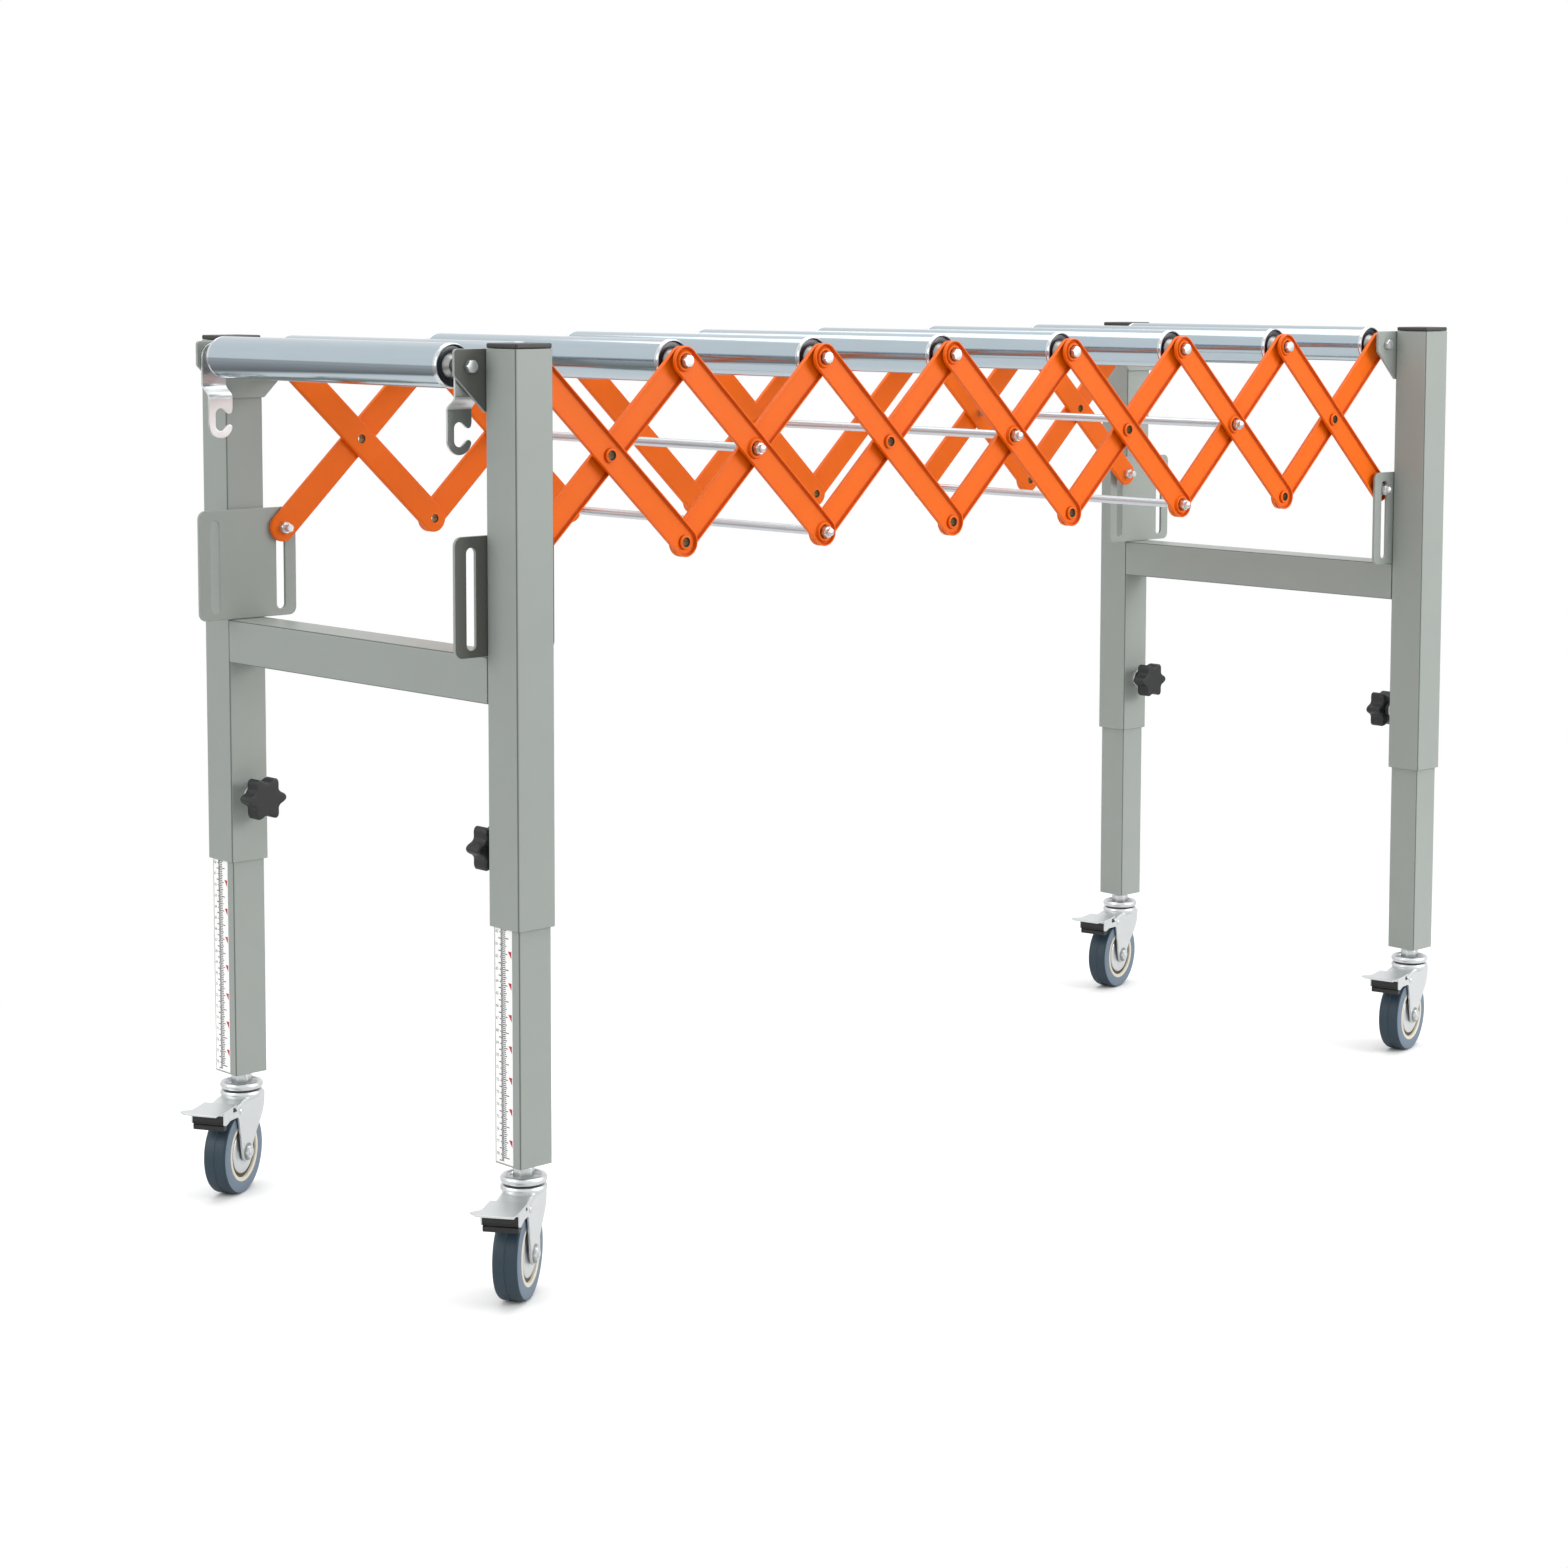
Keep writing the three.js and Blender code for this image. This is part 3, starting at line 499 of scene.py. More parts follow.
def pan(name, sign, base):
    """The pressed link between two heights out, hollow on its outer side."""
    rim = base + LINK_DEPTH
    levels = [(1.9, base), (0.55, base + 0.3), (0.12, base + 0.8), (0, base + 1.5), (0, rim - 0.5),
              (0.2, rim - 0.12), (0.6, rim), (1.0, rim - 0.06), (1.3, rim - 0.4), (1.5, rim - 1.0),
              (1.75, base + LINK_SHEET + 0.8), (2.1, base + LINK_SHEET + 0.3), (2.9, base + LINK_SHEET)]
    verts, faces = [], []
    count = len(ring_outline(0))
    for inset, out in levels:
        for x, z in ring_outline(inset):
            verts.append((x, sign * out, z))
    for row in range(len(levels) - 1):
        for i in range(count):
            j = (i + 1) % count
            faces.append((row * count + i, (row + 1) * count + i, (row + 1) * count + j, row * count + j))
    faces.append(tuple(range(count)))
    last = (len(levels) - 1) * count
    faces.append(tuple(range(last, last + count)))
    inner = base + LINK_SHEET
    # The inner walls of the flanges take the second material, a painted shade.
    return from_parts(name, verts, faces, [ORANGE, ORANGE_PAINTED_SHADE], None, 50,
                      tags=lambda c: 1 if inner + 0.1 < abs(c.y) < rim - 0.7 and inset_of(c) > 1.3 else 0)


def is_outer(kind, s):
    """Falling links are the outer layer on the near side, and climbing links on the far side."""
    return (kind == "down") == (s < 0)


def pivot_joint(kind, cell, place):
    """What holds a link at its start, middle or end: a bolt, a hollow rivet or a slot pin."""
    if place == 1:
        return "bolt" if cell in (2, 4, 6) else "rivet"
    at_top = (kind == "down") == (place == 0)
    if at_top:
        return "bolt"
    bottom = cell if kind == "down" else cell - 1
    if bottom in (0, CELLS):
        return "pin"
    return "bolt" if bottom in (2, 5) else "rivet"


def boss(sign, x, base):
    """A raised ring round a recess in which a bolt sits, with painted shade in the recess."""
    floor, top = base + LINK_SHEET, base + LINK_DEPTH - 0.4
    profile = [(9.6, floor - 0.1), (8.9, floor + 0.5), (8.5, top - 0.5), (8.0, top), (6.6, top), (6.1, top - 0.5),
               (6.0, floor + 0.2), (0, floor + 0.2)]
    made = lathe("boss", [(radius, sign * out) for radius, out in profile], [ORANGE, ORANGE_PAINTED_SHADE], 32,
                 tags=lambda c: 1 if math.hypot(c.x, c.z) < 6.2 else 0)
    made.matrix_world = at(x)
    return made


def hollow_rivet(sign, x, low, high):
    """A tube rolled over at both ends, open all the way through."""
    profile = [(3.4, high - 1.2), (3.6, high - 0.4), (4.3, high), (5.2, high - 0.1), (6.0, high - 0.8),
               (6.3, high - 2.6), (4.1, low + 0.9), (5.6, low + 0.9), (5.5, low + 0.3), (4.8, low), (3.9, low + 0.1),
               (3.4, low + 0.9)]

    def paint(centre):
        """The bore, its mouth in painted shade, the painted ring and the ring's side in painted shade, from the
        inside out.
        """
        radius = math.hypot(centre.x, centre.z)
        return 1 if radius < 3.45 else 2 if radius <= 4 else 0 if radius <= 6.05 else 3

    made = lathe("rivet", [(radius, sign * out) for radius, out in profile], [ORANGE, BORE, DARK_PAINTED_SHADE, ORANGE_PAINTED_SHADE], 30,
                 tags=paint, closed=True)
    made.matrix_world = at(x)
    return made


def link_model(kind, side, joints):
    """A link with the bosses and rivets that it shows, which are on the outer layer."""
    sign = SIDES[side]
    outer = is_outer(kind, sign)
    base = OUTER_LINK if outer else INNER_LINK
    holes = [LINK * place / 2 for place, joint in enumerate(joints) if joint == "rivet"]
    parts = [drill(pan("pan", sign, base), holes, 4.1, sign * (base - 1), sign * (base + LINK_DEPTH + 1))]
    if outer:
        for place, joint in enumerate(joints):
            x = LINK * place / 2
            if joint == "bolt":
                parts.append(boss(sign, x, base))
            elif joint == "rivet":
                parts.append(hollow_rivet(sign, x, INNER_LINK - 0.25, base + LINK_SHEET + 2.6))
    return join(f"{kind}_{side}_model", parts)


# Where the bolt or tie rod that a body carries lies along its links: 0 at the start, 1 in the middle, 2 at the end
OWNERS = {"down_1": 0, "up_1": 2, "down_2": 2, "up_2": 1, "down_3": 0, "up_3": 2, "down_4": 1, "up_4": 2,
          "down_5": 2, "up_5": 2, "down_6": 1, "down_7": 0, "up_7": 2}


def bolt_end(s, face, nut):
    """A hex head, or a nut with the bolt's rounded end, outside a face."""
    parts = [hexagon("head", HEX_RADIUS, s * (face + 0.05), s * (face + 4.2), ZINC, dome=0.0 if nut else 0.5)]
    if nut:
        parts.append(lathe("tip", [(3.6, s * (face + 4.1)), (3.6, s * (face + 6.6)), (3.1, s * (face + 7.6)),
                                   (1.8, s * (face + 8.1)), (0, s * (face + 8.2))], ZINC, 20))
    return parts


def fastener(name, owner, head, place, tie=False):
    """A through bolt with a head on the near side and a nut on the far side, or a tie rod with two nuts."""
    end = head + 0.2
    parts = [lathe("rod", [(0, -end), (ROD_RADIUS, -end), (ROD_RADIUS, end), (0, end)], ROD, 24)]
    for s in (-1, 1):
        parts += bolt_end(s, head, tie or s > 0)
    return join(name, parts, place @ at(LINK * owner / 2))


def collars(body, kind, place):
    """Spacers on the bolt that holds a link to its frame's brackets."""
    for s in SIDES.values():
        low, high = (INNER_LINK, OUTER_LINK) if is_outer(kind, s) else (INNER_LINK + 4, PLATE_IN - GAP)
        profile = [(4, s * low), (6.5, s * low), (6.5, s * high), (4, s * high)]
        put(lathe(f"{body}_collar", profile, ZINC, 24, place), body, "zinc")


def slot_pin(kind, s):
    """The pin through a link's end and its frame's slot, with a nut on both sides and a collar between."""
    base = OUTER_LINK if is_outer(kind, s) else INNER_LINK
    tip, end = base - 11, FRAME_HEAD + 3
    low, high = base + 1.5, PLATE_IN - 0.4
    pin = [(0, tip), (2.6, tip), (3.4, tip + 0.8), (3.4, base - 4), (ROD_RADIUS, base - 4), (ROD_RADIUS, end),
           (0, end)]
    collar = [(ROD_RADIUS, low), (6.4, low), (6.4, high), (ROD_RADIUS, high)]
    return [lathe("pin", [(radius, s * out) for radius, out in pin], ZINC, 20),
            hexagon("nut", HEX_RADIUS, s * (base - 0.05), s * (base - 4.6), ZINC),
            lathe("collar", [(radius, s * out) for radius, out in collar], ZINC, 24),
            *bolt_end(s, FRAME_HEAD, True)]


def link_pair(kind, cell):
    """Both links of a body with the fasteners that they carry."""
    body = f"{kind}_{cell}"
    start = FIRST_X + (cell - 1) * PITCH
    if kind == "down":
        place = at(start, 0, PIVOT_Z, turn_y=LINK_ANGLE)
    else:
        place = at(start, 0, PIVOT_Z - DROP, turn_y=-LINK_ANGLE)
    joints = tuple(pivot_joint(kind, cell, p) for p in range(3))
    for side in SIDES:
        key = (kind, side, joints)
        if key not in pans:
            pans[key] = link_model(kind, side, joints)
        # The links of up_6 share no rod, so each is a solid of its own
        node = f"up_link_6_{side}" if body == "up_6" else f"{kind}_links_{cell}"
        put(copy_of(pans[key], f"{body}_{side}_pan", place), body, "link_paint", node)
    if body in OWNERS:
        owner = OWNERS[body]
        end_top = body in ("down_1", "up_7")
        # A tie rod, in the middle or at the bottom, has a nut at both ends
        tie = owner == 1 or (kind == "down" and owner == 2)
        put(fastener(f"{body}_bolt", owner, FRAME_HEAD if end_top else BOLT_HEAD, place, tie), body, "zinc")
        if end_top:
            collars(body, kind, place @ at(LINK * owner / 2))
    if "pin" in joints:
        x = LINK * joints.index("pin") / 2
        for side, s in SIDES.items():
            put(join(f"{body}_slot_pin_{side}", slot_pin(kind, s), place @ at(x)), body, "zinc")


pans = {}
for kind in ("down", "up"):
    for cell in range(1, CELLS + 1):
        link_pair(kind, cell)
for made in (model, *pans.values()):
    bpy.data.objects.remove(made)


# End frames
def slot_outline(x):
    """The slot that an end's lower pins slide in."""
    half = SLOT_WIDTH / 2
    low = SLOT_TOP - SLOT_LENGTH
    return arc(x, SLOT_TOP - half, half, 0, 180, 10) + arc(x, low + half, half, 180, 360, 10)


def square_tube(name, side, radius, wall, low, high, mat, axis="Z", place=None, edge=0.35):
    """A square tube along an axis, with a painted dark reflection on its rounded corners."""
    half = side / 2
    outside = box_outline(-half, half, -half, half, radius, 6)
    inside = box_outline(wall - half, half - wall, wall - half, half - wall, max(0.6, radius - wall))
    tube = plate(name, outside, [inside], low, high, edge, [mat, PAINTED_CORNER_REFLECTION], axis, place)
    for face in tube.data.polygons:
        across = [abs(c) / MM for c in face.center]
        across.pop("XYZ".index(axis))
        face.material_index = 1 if min(across) > half - 1 else 0
    return tube


def shade_faces(obj):
    """Gives the near side of a plate its second material, a painted shade, where it has one."""
    if len(obj.data.materials) > 1:
        for face in obj.data.polygons:
            face.material_index = 1 if face.normal.y < -0.9 else 0


def end_frame(end, direction):
    """Two posts with their brackets, slotted plates, knob nuts and caps, and the crossbar between them."""
    x = direction * POST_X
    body = f"{end}_frame"
    top = TUBE_TOP
    bracket = rounded([(-49, top), (-49, top - 21), (-19, top - 50), (19, top - 50), (49, top - 21), (49, top)],
                      [3, 3, 2, 2, 3, 3])
    holes = [circle(dx, PIVOT_Z, PIVOT_HOLE) for dx in (-PIVOT_REACH, PIVOT_REACH)]
    slot_plate = box_outline(-50, 50, PLATE_BOTTOM, PLATE_TOP, 7)
    slots = [slot_outline(dx) for dx in (-PIVOT_REACH, PIVOT_REACH)]
    for side, s in SIDES.items():
        corner = f"{end}_{side}"
        post_place = at(x, s * POST_OUT)
        tube = square_tube(corner + "_tube", TUBE, 2.2, 2.2, TUBE_END, TUBE_TOP, GREY, "Z", post_place)
        put(tube, body, "frame_paint", corner + "_post")
        # On the left near corner, the near faces of the bracket and the slotted plate take SHADE, a painted shadow of
        # the post.
        paint = [GREY, SHADE] if corner == "left_near" else GREY
        for name, outline, openings in (("_bracket", bracket, holes), ("_slot_plate", slot_plate, slots)):
            piece = plate(corner + name, outline, openings, s * PLATE_IN, s * INNER_FACE, 0.6, paint, "Y", at(x))
            shade_faces(piece)
            put(piece, body, "frame_paint")
        nut = hexagon(corner + "_knob_nut", 7.9, s * INNER_FACE, s * (INNER_FACE - KNOB_NUT), ZINC, at(x, 0, KNOB_Z))
        put(nut, body, "zinc")
        cap = plate(corner + "_cap_look", box_outline(-19, 19, -19, 19, 3.2), [], TUBE_TOP + GAP, ROLLER_TOP, 1.1,
                    CAP, "Z", post_place, steps=3)
        put(cap, body, "black_plastic", corner + "_cap")
    bar_end = INNER_FACE - GAP
    bar = square_tube(end + "_crossbar_look", TUBE, 2.2, 2.0, -bar_end, bar_end, GREY, "Y",
                      at(x, 0, CROSSBAR_TOP - TUBE / 2), 0.15)
    put(bar, body, "frame_paint", end + "_crossbar")


for end, direction in ENDS.items():
    end_frame(end, direction)
axle = fastener("outer_axle", 0, FRAME_HEAD, at(ROLLER_X[0], 0, PIVOT_Z))
put(axle, "left_frame", "zinc")


# Legs with their scale stickers
INCH = 25.4
TOP_NUMBER = 78
# The leg's -X face, in which the numbers stand upright
NUMBER_FACING = Matrix(((0, 0, -1, 0), (-1, 0, 0, 0), (0, 1, 0, 0), (0, 0, 0, 1)))


def sticker(corner):
    """A white strip with a centimetre scale on its left and an inch scale with red marks on its right."""
    face = -LEG / 2 - 0.14
    ink_face = face - 0.03
    low, high = LEG_END + 1.5, LEG_TOP - 12
    parts = [plate("strip", box_outline(-7.6, 14.0, low, high, 0.6), [], face, -LEG / 2 + 0.01, 0.04, WHITE, "X")]
    ticks, flags = [], []

    def tick(left, right, z, thick):
        half = thick / 2
        ticks.append([(left, z - half), (right, z - half), (right, z + half), (left, z + half)])

    for i in range(int(high - low) - 3):
        z = low + 2 + i
        tick(6.8, 4.0, z, 0.68)
        if i % 5 == 0:
            tick(9.6 if i % 10 == 0 else 8.0, 6.4, z, 0.8)
    for i in range(int((high - low - 6) / INCH * 16)):
        z = low + 5 + i * INCH / 16
        reach = {0: 7.0, 8: 5.4, 4: 4.4, 12: 4.4}.get(i % 16, 3.2)
        tick(3.9, 3.9 - reach, z, 0.75)
        if i % 16 == 8:
            flags.append([(-2.4, z + 2.6), (-6.8, z - 3.2), (-6.8, z + 2.8)])
    for ink, shapes in ((INK, ticks), (RED, flags)):
        verts, faces = [], []
        for shape in shapes:
            faces.append(tuple(range(len(verts), len(verts) + len(shape))))
            verts += [(ink_face, y, z) for y, z in shape]
        parts.append(from_parts("marks", verts, faces, ink, None, 30, False))
    for i in range(int((high - low - 8) / 10)):
        text = bpy.data.curves.new("number", "FONT")
        text.body = str(TOP_NUMBER - i)
        text.size = 3.5 * MM
        text.align_x = "CENTER"
        text.align_y = "CENTER"
        mesh = mesh_of("number", text)
        mesh.transform(NUMBER_FACING)
        mesh.transform(at(ink_face, 11.6, low + 7 + i * 10))
        parts.append(dress(new_object("number", mesh), INK, 30, False))
    put(join(corner + "_sticker", parts, at(*corner_at(corner))), corner + "_leg", "black_plastic")


for corner in CASTERS:
    tube = square_tube("tube", LEG, 2.0, 2.0, LEG_END, LEG_TOP, GREY)
    foot = plate("foot", box_outline(-14.6, 14.6, -14.6, 14.6, 1), [], LEG_END + 0.4, LEG_END + 4, 0.3, GREY, "Z")
    leg = join(corner + "_leg_look", [tube, foot], at(*corner_at(corner)))
    put(leg, corner + "_leg", "frame_paint", corner + "_leg")
    if corner.startswith("left"):
        sticker(corner)


# Clamp knobs
def knob(side):
    """A star knob with a hub, a washer against the knob's nut, and a stud."""
    s = SIDES[side]
    hub_length, depth = 7, 16.5
    hub_end = INNER_FACE - KNOB_NUT - GAP
    back = hub_end - hub_length
    front = back - depth

    def star(share):
        return lambda turn: share * (14.2 + 5.7 * (0.5 + 0.5 * math.cos(6 * turn)) ** 1.3)

    def part(name, profile, mat, steps):
        return lathe(name, [(radius, s * out) for radius, out in profile], mat, steps)

    levels = [(0, front), (10, front), (star(0.92), front), (star(0.97), front + 0.3), (star(1), front + 1.2),
              (star(1), back - 3.2), (star(0.94), back - 1), (star(0.84), back), (0, back)]
    verts, faces = turned([(reach, s * out) for reach, out in levels], 96)
    head = from_parts("knob", verts, faces, PLASTIC, None, 48)
    hub = part("hub", [(0, back - 0.5), (9, back - 0.5), (8.4, back + 5), (7.6, hub_end), (0, hub_end)], PLASTIC, 32)
    washer = part("washer", [(0, back + 5.4), (9.8, back + 5.4), (10.2, back + 5.8), (10.2, back + 6.7),
                             (9.8, hub_end), (0, hub_end)], ZINC, 32)
    stud = part("stud", [(0, back + 6), (3.8, back + 6), (3.8, INNER_FACE + 2), (0, INNER_FACE + 2)], ZINC, 20)
    return join(f"{side}_knob_model", [head, hub, washer, stud])


for side in SIDES:
    model = knob(side)
    for end, direction in ENDS.items():
        corner = f"{end}_{side}"
        put(copy_of(model, corner + "_knob_look", at(direction * POST_X, 0, KNOB_Z)), corner + "_knob",
            "black_plastic", corner + "_knob")
    bpy.data.objects.remove(model)


# Hooks
def hook(side):
    """A flat strip that hangs on the axle, steps inwards under the roller and ends in a C open to +X."""
    s = SIDES[side]
    out = PLATE_IN - GAP
    outline = arc(0, 0, 12, 0, 180, 20) + arc(0, -58, 12, 180, 336, 24)
    outline += arc(8.6, -61.0, 2.9, 320, 500, 10) + arc(-0.4, -58.6, 4.9, 315, 180, 10)
    outline += arc(-0.4, -49.0, 4.9, 180, 48, 10) + arc(8.6, -46.2, 3.0, 228, 360, 8) + [(12, -44.5)]
    hole = circle(0, 0, PIVOT_HOLE)

    def joggle(bm):
        """Steps the strip 10 mm inwards between 24 and 34 mm below the axle."""
        for level in range(22, 38, 2):
            geometry = bm.verts[:] + bm.edges[:] + bm.faces[:]
            bmesh.ops.bisect_plane(bm, geom=geometry, plane_co=(0, 0, -level * MM), plane_no=(0, 0, 1))
        for v in bm.verts:
            drop = min(1, max(0, (-v.co.z / MM - 24) / 10))
            v.co.y -= s * 10 * MM * (3 * drop ** 2 - 2 * drop ** 3)

    # The near hook's near faces take SHADED_ZINC, a painted shade.
    mats = [ZINC, SHADED_ZINC] if side == "near" else ZINC
    made = plate(f"{side}_hook_look", outline, [hole], s * (out - 2), s * out, 0.4, mats, "Y",
                 at(ROLLER_X[0], 0, PIVOT_Z), shape=joggle)
    shade_faces(made)
    return made


for side in SIDES:
    put(hook(side), side + "_hook", "zinc", side + "_hook")


# Casters, drawn with the swivel axis on Z and the wheel towards -X
WHEEL_CENTRE = at(-TRAIL, 0, WHEEL_R)


def about_z(obj):
    """Stands a shape that was turned about Y upright."""
    obj.data.transform(Matrix.Rotation(math.pi / 2, 4, "X"))
    return obj


def caster_head():
    """The upper disc of the ball race with the stem, its nut and a washer."""
    disc = about_z(lathe("disc", [(0, 90.5), (15.5, 90.5), (18.0, 91.0), (18.9, 92.4), (18.9, 94.6), (18.0, 96.2),
                                  (16.2, 97.0), (14.6, 96.8), (13.6, 96.0), (13.0, 94.4), (0, 94.4)], ZINC, 56))
    nut = about_z(hexagon("nut", 8.9, 94.4, 103.2, ZINC))
    washer = about_z(lathe("washer", [(0, 103.2), (8.6, 103.2), (8.8, 103.6), (8.8, 105.0), (8.4, 105.4), (0, 105.4)],
                           ZINC, 30))
    stem = about_z(lathe("stem", [(0, 84.3), (4.9, 84.3), (4.9, 121), (0, 121)], ZINC, 20))
    return join("caster_head_model", [disc, nut, washer, stem])


def fork():
    """Two cheeks with a rivet and the axle's nut on each, the hood over them, and the race's lower disc."""
    cheek = ([(17, 82.6), (-17, 82.6), (-38, 78.8), (-54.5, 79.0)] + arc(-54.3, 77.2, 2.2, 130, 220, 5)
             + [(-55.4, 73.6)] + arc(-38.0, 68.6, 4.4, 90, 10, 6) + arc(-18, 37.5, 9, 188, 322, 14)
             + [(-8.0, 41.5), (-4.2, 47.0), (1.0, 53.0), (8.0, 60.0), (13.5, 67.0), (16.4, 74.0)])
    parts = []
    for s in (-1, 1):
        parts.append(plate("side", cheek, [], s * FORK_IN, s * FORK_OUT, 0.5, ZINC, "Y"))
        rivet = lathe("rivet", [(3, s * FORK_OUT), (3, s * (FORK_OUT + 0.5)), (2.4, s * (FORK_OUT + 1.0)),
                                (1.35, s * (FORK_OUT + 1.1)), (0, s * (FORK_OUT + 0.6))], ZINC, 22)
        rivet.matrix_world = at(-30, 0, 77)
        nut = hexagon("nut", 6.4, s * (FORK_OUT - 0.2), s * (FORK_OUT + 2.9), ZINC)
        tip = lathe("tip", [(3.2, s * (FORK_OUT + 2.8)), (3.2, s * (FORK_OUT + 3.5)), (2.5, s * (FORK_OUT + 3.9)),
                            (0, s * (FORK_OUT + 3.9))], ZINC, 18)
        # Each axle nut sits on a thin washer of darker zinc, a painted shadow round the nut.
        washer = lathe("washer", [(5.0, s * FORK_OUT), (7.9, s * FORK_OUT), (7.7, s * (FORK_OUT + 0.5)),
                                  (5.0, s * (FORK_OUT + 0.5))], SHADED_ZINC, 32)
        for part in (nut, tip, washer):
            part.matrix_world = WHEEL_CENTRE
        parts += [rivet, nut, tip, washer]
    parts.append(lathe("axle", [(ROD_RADIUS, -FORK_IN), (ROD_RADIUS, FORK_IN)], ZINC, 20, WHEEL_CENTRE))
    # The hood is bent down along both sides. Each station is how far forward, and the top.
    stations = [(17, 85.6), (-17, 85.6), (-22, 85.0), (-38, 81.8)]
    bend = 3.0
    across = [(-FORK_OUT, -bend)]
    across += [(-FORK_OUT + bend - bend * math.cos(math.radians(a)), -bend + bend * math.sin(math.radians(a)))
               for a in (22.5, 45, 67.5, 90)]
    across += [(-y, z) for y, z in reversed(across)]
    shrink = FORK_IN / FORK_OUT
    rows = []
    for x, top in stations:
        under = [(x, y * shrink, top + z - (2.2 if abs(y) < FORK_OUT - 1.0 else 0.6)) for y, z in across]
        rows.append([(x, y, top + z) for y, z in across] + under)
    parts.append(sheet("hood", rows, ZINC))
    parts.append(about_z(lathe("disc", [(5.4, 83), (16.0, 83), (18.2, 83.8), (18.9, 85.4), (18.9, 87.4), (18.0, 88.9),
                                        (16.4, 89.5), (5.4, 89.5)], ZINC, 56)))
    # The ball race between the two discs is near black, a painted shade in the gap.
    parts.append(about_z(lathe("race", [(5.4, 89.4), (15.4, 89.4), (15.4, 90.3), (5.4, 90.3)], DARK_PAINTED_SHADE, 40)))
    return join("fork_model", parts)


def wheel():
    """Tread, tyre sides, core, groove and the disc with its hub, centred on the axle."""
    half = 11
    tread = [(36.4, -half + 0.7), (37.1, -half + 1.6), (37.5, -half + 3.2), (37.5, -0.7), (37.15, -0.4),
             (37.15, 0.4), (37.5, 0.7), (37.5, half - 3.2), (37.1, half - 1.6), (36.4, half - 0.7)]
    parts = [lathe("tread", tread, TREAD, 72, angle=30)]
    for s in (-1, 1):
        side = [(36.4, s * (half - 0.7)), (34.6, s * (half - 0.15)), (32.0, s * half), (28.4, s * half),
                (26.6, s * (half - 0.3))]
        parts.append(lathe("side", side, TYRE_SIDE, 72))
        parts.append(lathe("core", [(26.6, s * (half - 0.3)), (26.3, s * (half - 0.05)), (23.8, s * (half - 0.05)),
                                    (23.2, s * (half - 0.6)), (23.0, s * (half - 2.5))], CORE, 60))
        parts.append(lathe("groove", [(23.0, s * (half - 2.3)), (20.2, s * (half - 2.5)), (19.6, s * (half - 2.4))],
                           GROOVE, 56))
        parts.append(lathe("disc", [(19.8, s * (half - 2.6)), (19.4, s * (half - 1.4)), (18.4, s * (half - 0.8)),
                                    (13.0, s * (half - 0.9)), (10.4, s * (half - 0.4)), (7.6, s * half),
                                    (4.4, s * half), (4.4, s * (half - 4))], ZINC, 56))
    return join("wheel_model", parts)


def pedal():
    """The brake pedal: a tread with an ear, two cheeks on a pin, and the plastic blocks under it."""
    outer = 16.1
    # Each station: how far forward, the top, and how far the ear on the far side stands out
    stations = [(-42, 86.0, 0), (-50, 85.6, 0), (-58, 85.3, 0), (-63, 85.2, 0), (-66, 85.2, 1.4), (-69, 85.3, 4.2),
                (-72, 85.5, 6.0), (-75, 85.8, 5.8), (-78, 86.0, 3.6), (-80.6, 86.1, 0.8), (-82, 85.6, -1.0)]
    across = [(-outer, -0.9), (-outer + 0.5, -0.2), (-outer + 1.2, 0), (outer - 1.2, 0), (outer - 0.5, -0.2),
              (outer, -0.9)]
    rows = []
    for x, top, ear in stations:
        wide = [(y + (ear if y > 0 else 0), z) for y, z in across]
        rows.append([(x, y, top + z) for y, z in wide] + [(x, y, top - 1.3) for y, z in wide])
    parts = [sheet("tread", rows, ZINC)]
    cheek = rounded([(-66, 84.2), (-66, 73), (-62, 72), (-48.6, 76.5), (-48.6, 84.6)], [0.5, 1.5, 1.5, 3, 0.5])
    for s in (-1, 1):
        parts.append(plate("cheek", cheek, [], s * 14.75, s * outer, 0.4, ZINC, "Y"))
        parts.append(lathe("pin", [(2.6, s * 16.0), (2.6, s * 16.15), (1.2, s * 16.2), (0, s * 15.9)], ZINC, 20,
                           at(-53, 0, 79.5)))
    front = rounded([(-58.4, 84.2), (-66, 84.2), (-66, 75.2), (-63.8, 74.4), (-63.8, 72.6), (-65.2, 71.8),
                     (-64.8, 67.6), (-58.4, 67.6)], 0.3, 2)
    parts.append(plate("block", front, [], -14.7, 14.7, 0.3, PLASTIC, "Y"))
    rear = rounded([(-47, 84.2), (-60, 84.0), (-60, 68), (-57.5, 68), (-47, 71.5)], 0.5, 2)
    parts.append(plate("block", rear, [], -11.3, 11.3, 0.3, PLASTIC, "Y"))
    bar = rounded([(-59, 83.0), (-66.4, 83.0), (-66.4, 81.4), (-59, 81.4)], 0.5, 2)
    parts.append(plate("bar", bar, [], -15.6, 15.6, 0.3, ZINC, "Y"))
    return join("pedal_model", parts)


models = {"caster_head": caster_head(), "fork": fork(), "wheel": wheel(), "brake_pedal": pedal()}
for corner, degrees in CASTERS.items():
    swivelled = at(*corner_at(corner), turn_z=math.radians(degrees))
    for kind, made in models.items():
        place = swivelled @ WHEEL_CENTRE if kind == "wheel" else swivelled
        body = f"{corner}_leg" if kind == "caster_head" else f"{corner}_{kind}"
        put(copy_of(made, f"{corner}_{kind}_look", place), body, "wheel_rubber" if kind == "wheel" else "zinc",
            f"{corner}_{kind}")
for made in models.values():
    bpy.data.objects.remove(made)


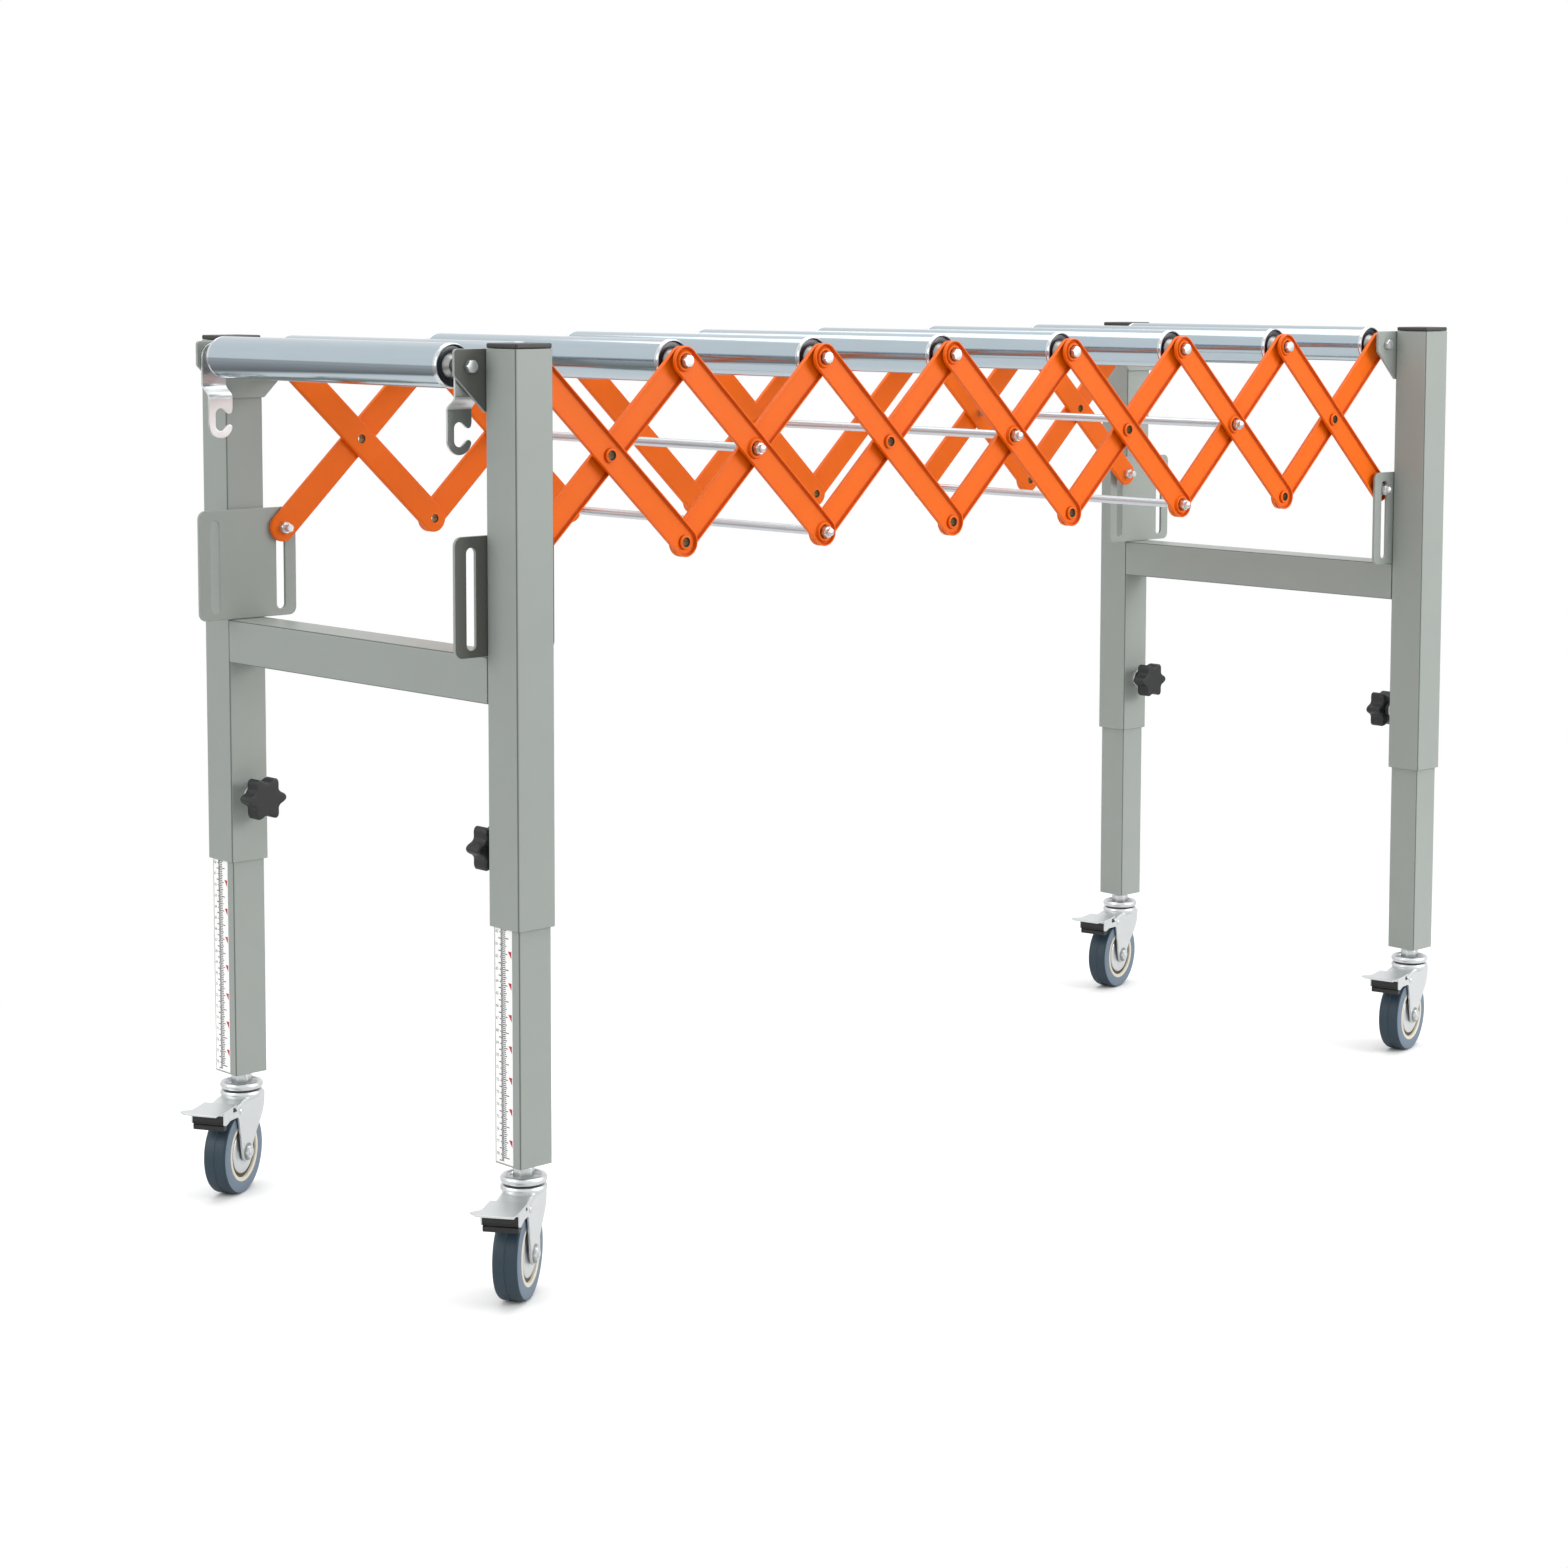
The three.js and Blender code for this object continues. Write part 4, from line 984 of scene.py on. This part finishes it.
# Floor, world, lamps and camera
def ray_share(nodes, links, path, *kinds):
    """1 for a ray of one of these kinds, else 0."""
    total = path.outputs[f"Is {kinds[0]} Ray"]
    for kind in kinds[1:]:
        both = add_node(nodes, "Math", "MAXIMUM")
        links.new(total, both.inputs[0])
        links.new(path.outputs[f"Is {kind} Ray"], both.inputs[1])
        total = both.outputs["Value"]
    return total


def value_ramp(nodes, stops):
    """A grey ramp through stops of (position, level)."""
    ramp = add_node(nodes, "ValToRGB")
    elements = ramp.color_ramp.elements
    for element, (position, level) in zip(elements, (stops[0], stops[-1])):
        element.position, element.color = position, (level, level, level, 1)
    for position, level in stops[1:-1]:
        elements.new(position).color = (level, level, level, 1)
    return ramp


def plain_floor():
    """A white sheet round the object on a darker floor. Camera and transmission rays see all of it as white, shadows
    apart. Glossy rays see the sheet and the darker floor, which gives the rollers their dark bands."""
    mesh = bpy.data.meshes.new("floor")
    reach = 40
    corners = [(-reach, -reach, 0), (reach, -reach, 0), (reach, reach, 0), (-reach, reach, 0)]
    mesh.from_pydata(corners, [], [(0, 1, 2, 3)])
    m = bpy.data.materials.new("floor_white")
    m.use_nodes = True
    nodes, links = m.node_tree.nodes, m.node_tree.links
    shader = nodes["Principled BSDF"]
    shader.inputs["Roughness"].default_value = 0.9
    shader.inputs["Specular IOR Level"].default_value = 0.0
    # How far out a point lies, as a share of 5 m, in ovals that are longer along X
    where = add_node(nodes, "TexCoord")
    flat = add_node(nodes, "VectorMath", "MULTIPLY")
    flat.inputs[1].default_value = (0.7, 1, 0)
    links.new(where.outputs["Object"], flat.inputs[0])
    far = add_node(nodes, "VectorMath", "LENGTH")
    links.new(flat.outputs["Vector"], far.inputs[0])
    share = add_node(nodes, "MapRange", From_Max=5)
    links.new(far.outputs["Value"], share.inputs["Value"])
    # The sheet and the floor round it, a little darker for all but the camera
    tone = value_ramp(nodes, [(0, 0.93), (0.25, 0.93), (0.28, 0.2), (0.34, 0.3), (0.5, 0.46), (1, 0.8)])
    links.new(share.outputs["Result"], tone.inputs["Fac"])
    path = add_node(nodes, "LightPath")
    level = add_node(nodes, "MapRange", To_Min=0.77)
    links.new(path.outputs["Is Camera Ray"], level.inputs["Value"])
    tint = add_node(nodes, "VectorMath", "SCALE")
    links.new(tone.outputs["Color"], tint.inputs[0])
    links.new(level.outputs["Result"], tint.inputs["Scale"])
    links.new(tint.outputs["Vector"], shader.inputs["Base Color"])
    # Plain white further out
    white = add_node(nodes, "Emission")
    fade = value_ramp(nodes, [(0, 0), (0.12, 0), (0.2, 1), (1, 1)])
    links.new(share.outputs["Result"], fade.inputs["Fac"])
    seen = add_node(nodes, "Math", "MULTIPLY")
    links.new(fade.outputs["Color"], seen.inputs[0])
    links.new(ray_share(nodes, links, path, "Camera", "Transmission"), seen.inputs[1])
    mix = add_node(nodes, "MixShader")
    links.new(seen.outputs["Value"], mix.inputs["Fac"])
    links.new(shader.outputs["BSDF"], mix.inputs[1])
    links.new(white.outputs["Emission"], mix.inputs[2])
    links.new(mix.outputs["Shader"], nodes["Material Output"].inputs["Surface"])
    mesh.materials.append(m)
    new_object("floor", mesh)


def world_light():
    """Soft light that changes with the height above the horizon. Camera, glossy and transmission rays see white."""
    world = bpy.data.worlds.new("studio")
    bpy.context.scene.world = world
    world.use_nodes = True
    nodes, links = world.node_tree.nodes, world.node_tree.links
    background = nodes["Background"]
    where = add_node(nodes, "TexCoord")
    split = add_node(nodes, "SeparateXYZ")
    links.new(where.outputs["Generated"], split.inputs["Vector"])
    height = add_node(nodes, "MapRange", From_Min=-1)
    links.new(split.outputs["Z"], height.inputs["Value"])
    # Each stop: degrees above the horizon, and the level of light from there
    stops = [(-90, 0.5), (0, 0.62), (8, 0.66), (20, 0.76), (30, 0.95), (39, 1.0), (42.5, 0.7), (46, 0.45), (54, 0.75),
             (62, 1.0), (90, 1.0)]
    ramp = value_ramp(nodes, [((math.sin(math.radians(e)) + 1) / 2, level) for e, level in stops])
    links.new(height.outputs["Result"], ramp.inputs["Fac"])
    path = add_node(nodes, "LightPath")
    mix = add_node(nodes, "Mix")
    mix.data_type = "RGBA"
    mix.inputs["B"].default_value = (1, 1, 1, 1)
    links.new(ramp.outputs["Color"], mix.inputs["A"])
    links.new(ray_share(nodes, links, path, "Camera", "Glossy", "Transmission"), mix.inputs["Factor"])
    links.new(mix.outputs["Result"], background.inputs["Color"])


def area_lamp(name, power, size, place, target):
    """A rectangular lamp that faces its target, in watts and metres."""
    data = bpy.data.lights.new(name, "AREA")
    data.energy = power
    data.shape = "RECTANGLE"
    data.size, data.size_y = size
    lamp = bpy.data.objects.new(name, data)
    collection.objects.link(lamp)
    lamp.location = place
    lamp.rotation_mode = "QUATERNION"
    lamp.rotation_quaternion = (Vector(target) - Vector(place)).to_track_quat("-Z", "Y")


plain_floor()
world_light()
area_lamp("top_lamp", 60, (4.2, 3.4), (0.3, 0.2, 3.2), (0, 0, 0.4))
area_lamp("key_lamp", 78, (2.2, 1.4), (1.8, -3.1, 1.6), (0.3, 0, 0.65))
area_lamp("left_lamp", 24, (1.6, 1.4), (-3.0, 0.5, 1.5), (0, 0, 0.6))

# The camera that was fitted to the photograph: its place in metres, its turns in radians, and its focal length and
# the row of its centre in the photograph's pixels
PHOTO = 1568
SENSOR = 36
PLACE = (-2.14618, -2.14243, 0.81554)
TURN, DOWN, ROLL = math.radians(46.663), 0.09086, 0.00196
FOCAL, CENTRE_ROW = 3159.5, 560


def photo_camera():
    """Turns about Z, tilts down and rolls, and the picture's centre is moved by the lens's shift."""
    data = bpy.data.cameras.new("camera")
    camera = new_object("camera", data)
    bpy.context.scene.camera = camera
    level = Matrix(((math.sin(TURN), -math.cos(TURN), 0), (0, 0, -1), (math.cos(TURN), math.sin(TURN), 0)))
    right, down, forward = Matrix.Rotation(DOWN, 3, "X") @ Matrix.Rotation(ROLL, 3, "Z") @ level
    axes = Matrix((right, -down, -forward)).transposed()
    camera.matrix_world = Matrix.Translation(PLACE) @ axes.to_4x4()
    data.sensor_width = SENSOR
    data.lens = FOCAL / PHOTO * SENSOR
    data.shift_y = (CENTRE_ROW - PHOTO / 2) / PHOTO
    data.clip_start, data.clip_end = 0.05, 100


photo_camera()
bpy.context.scene.view_settings.view_transform = "Standard"
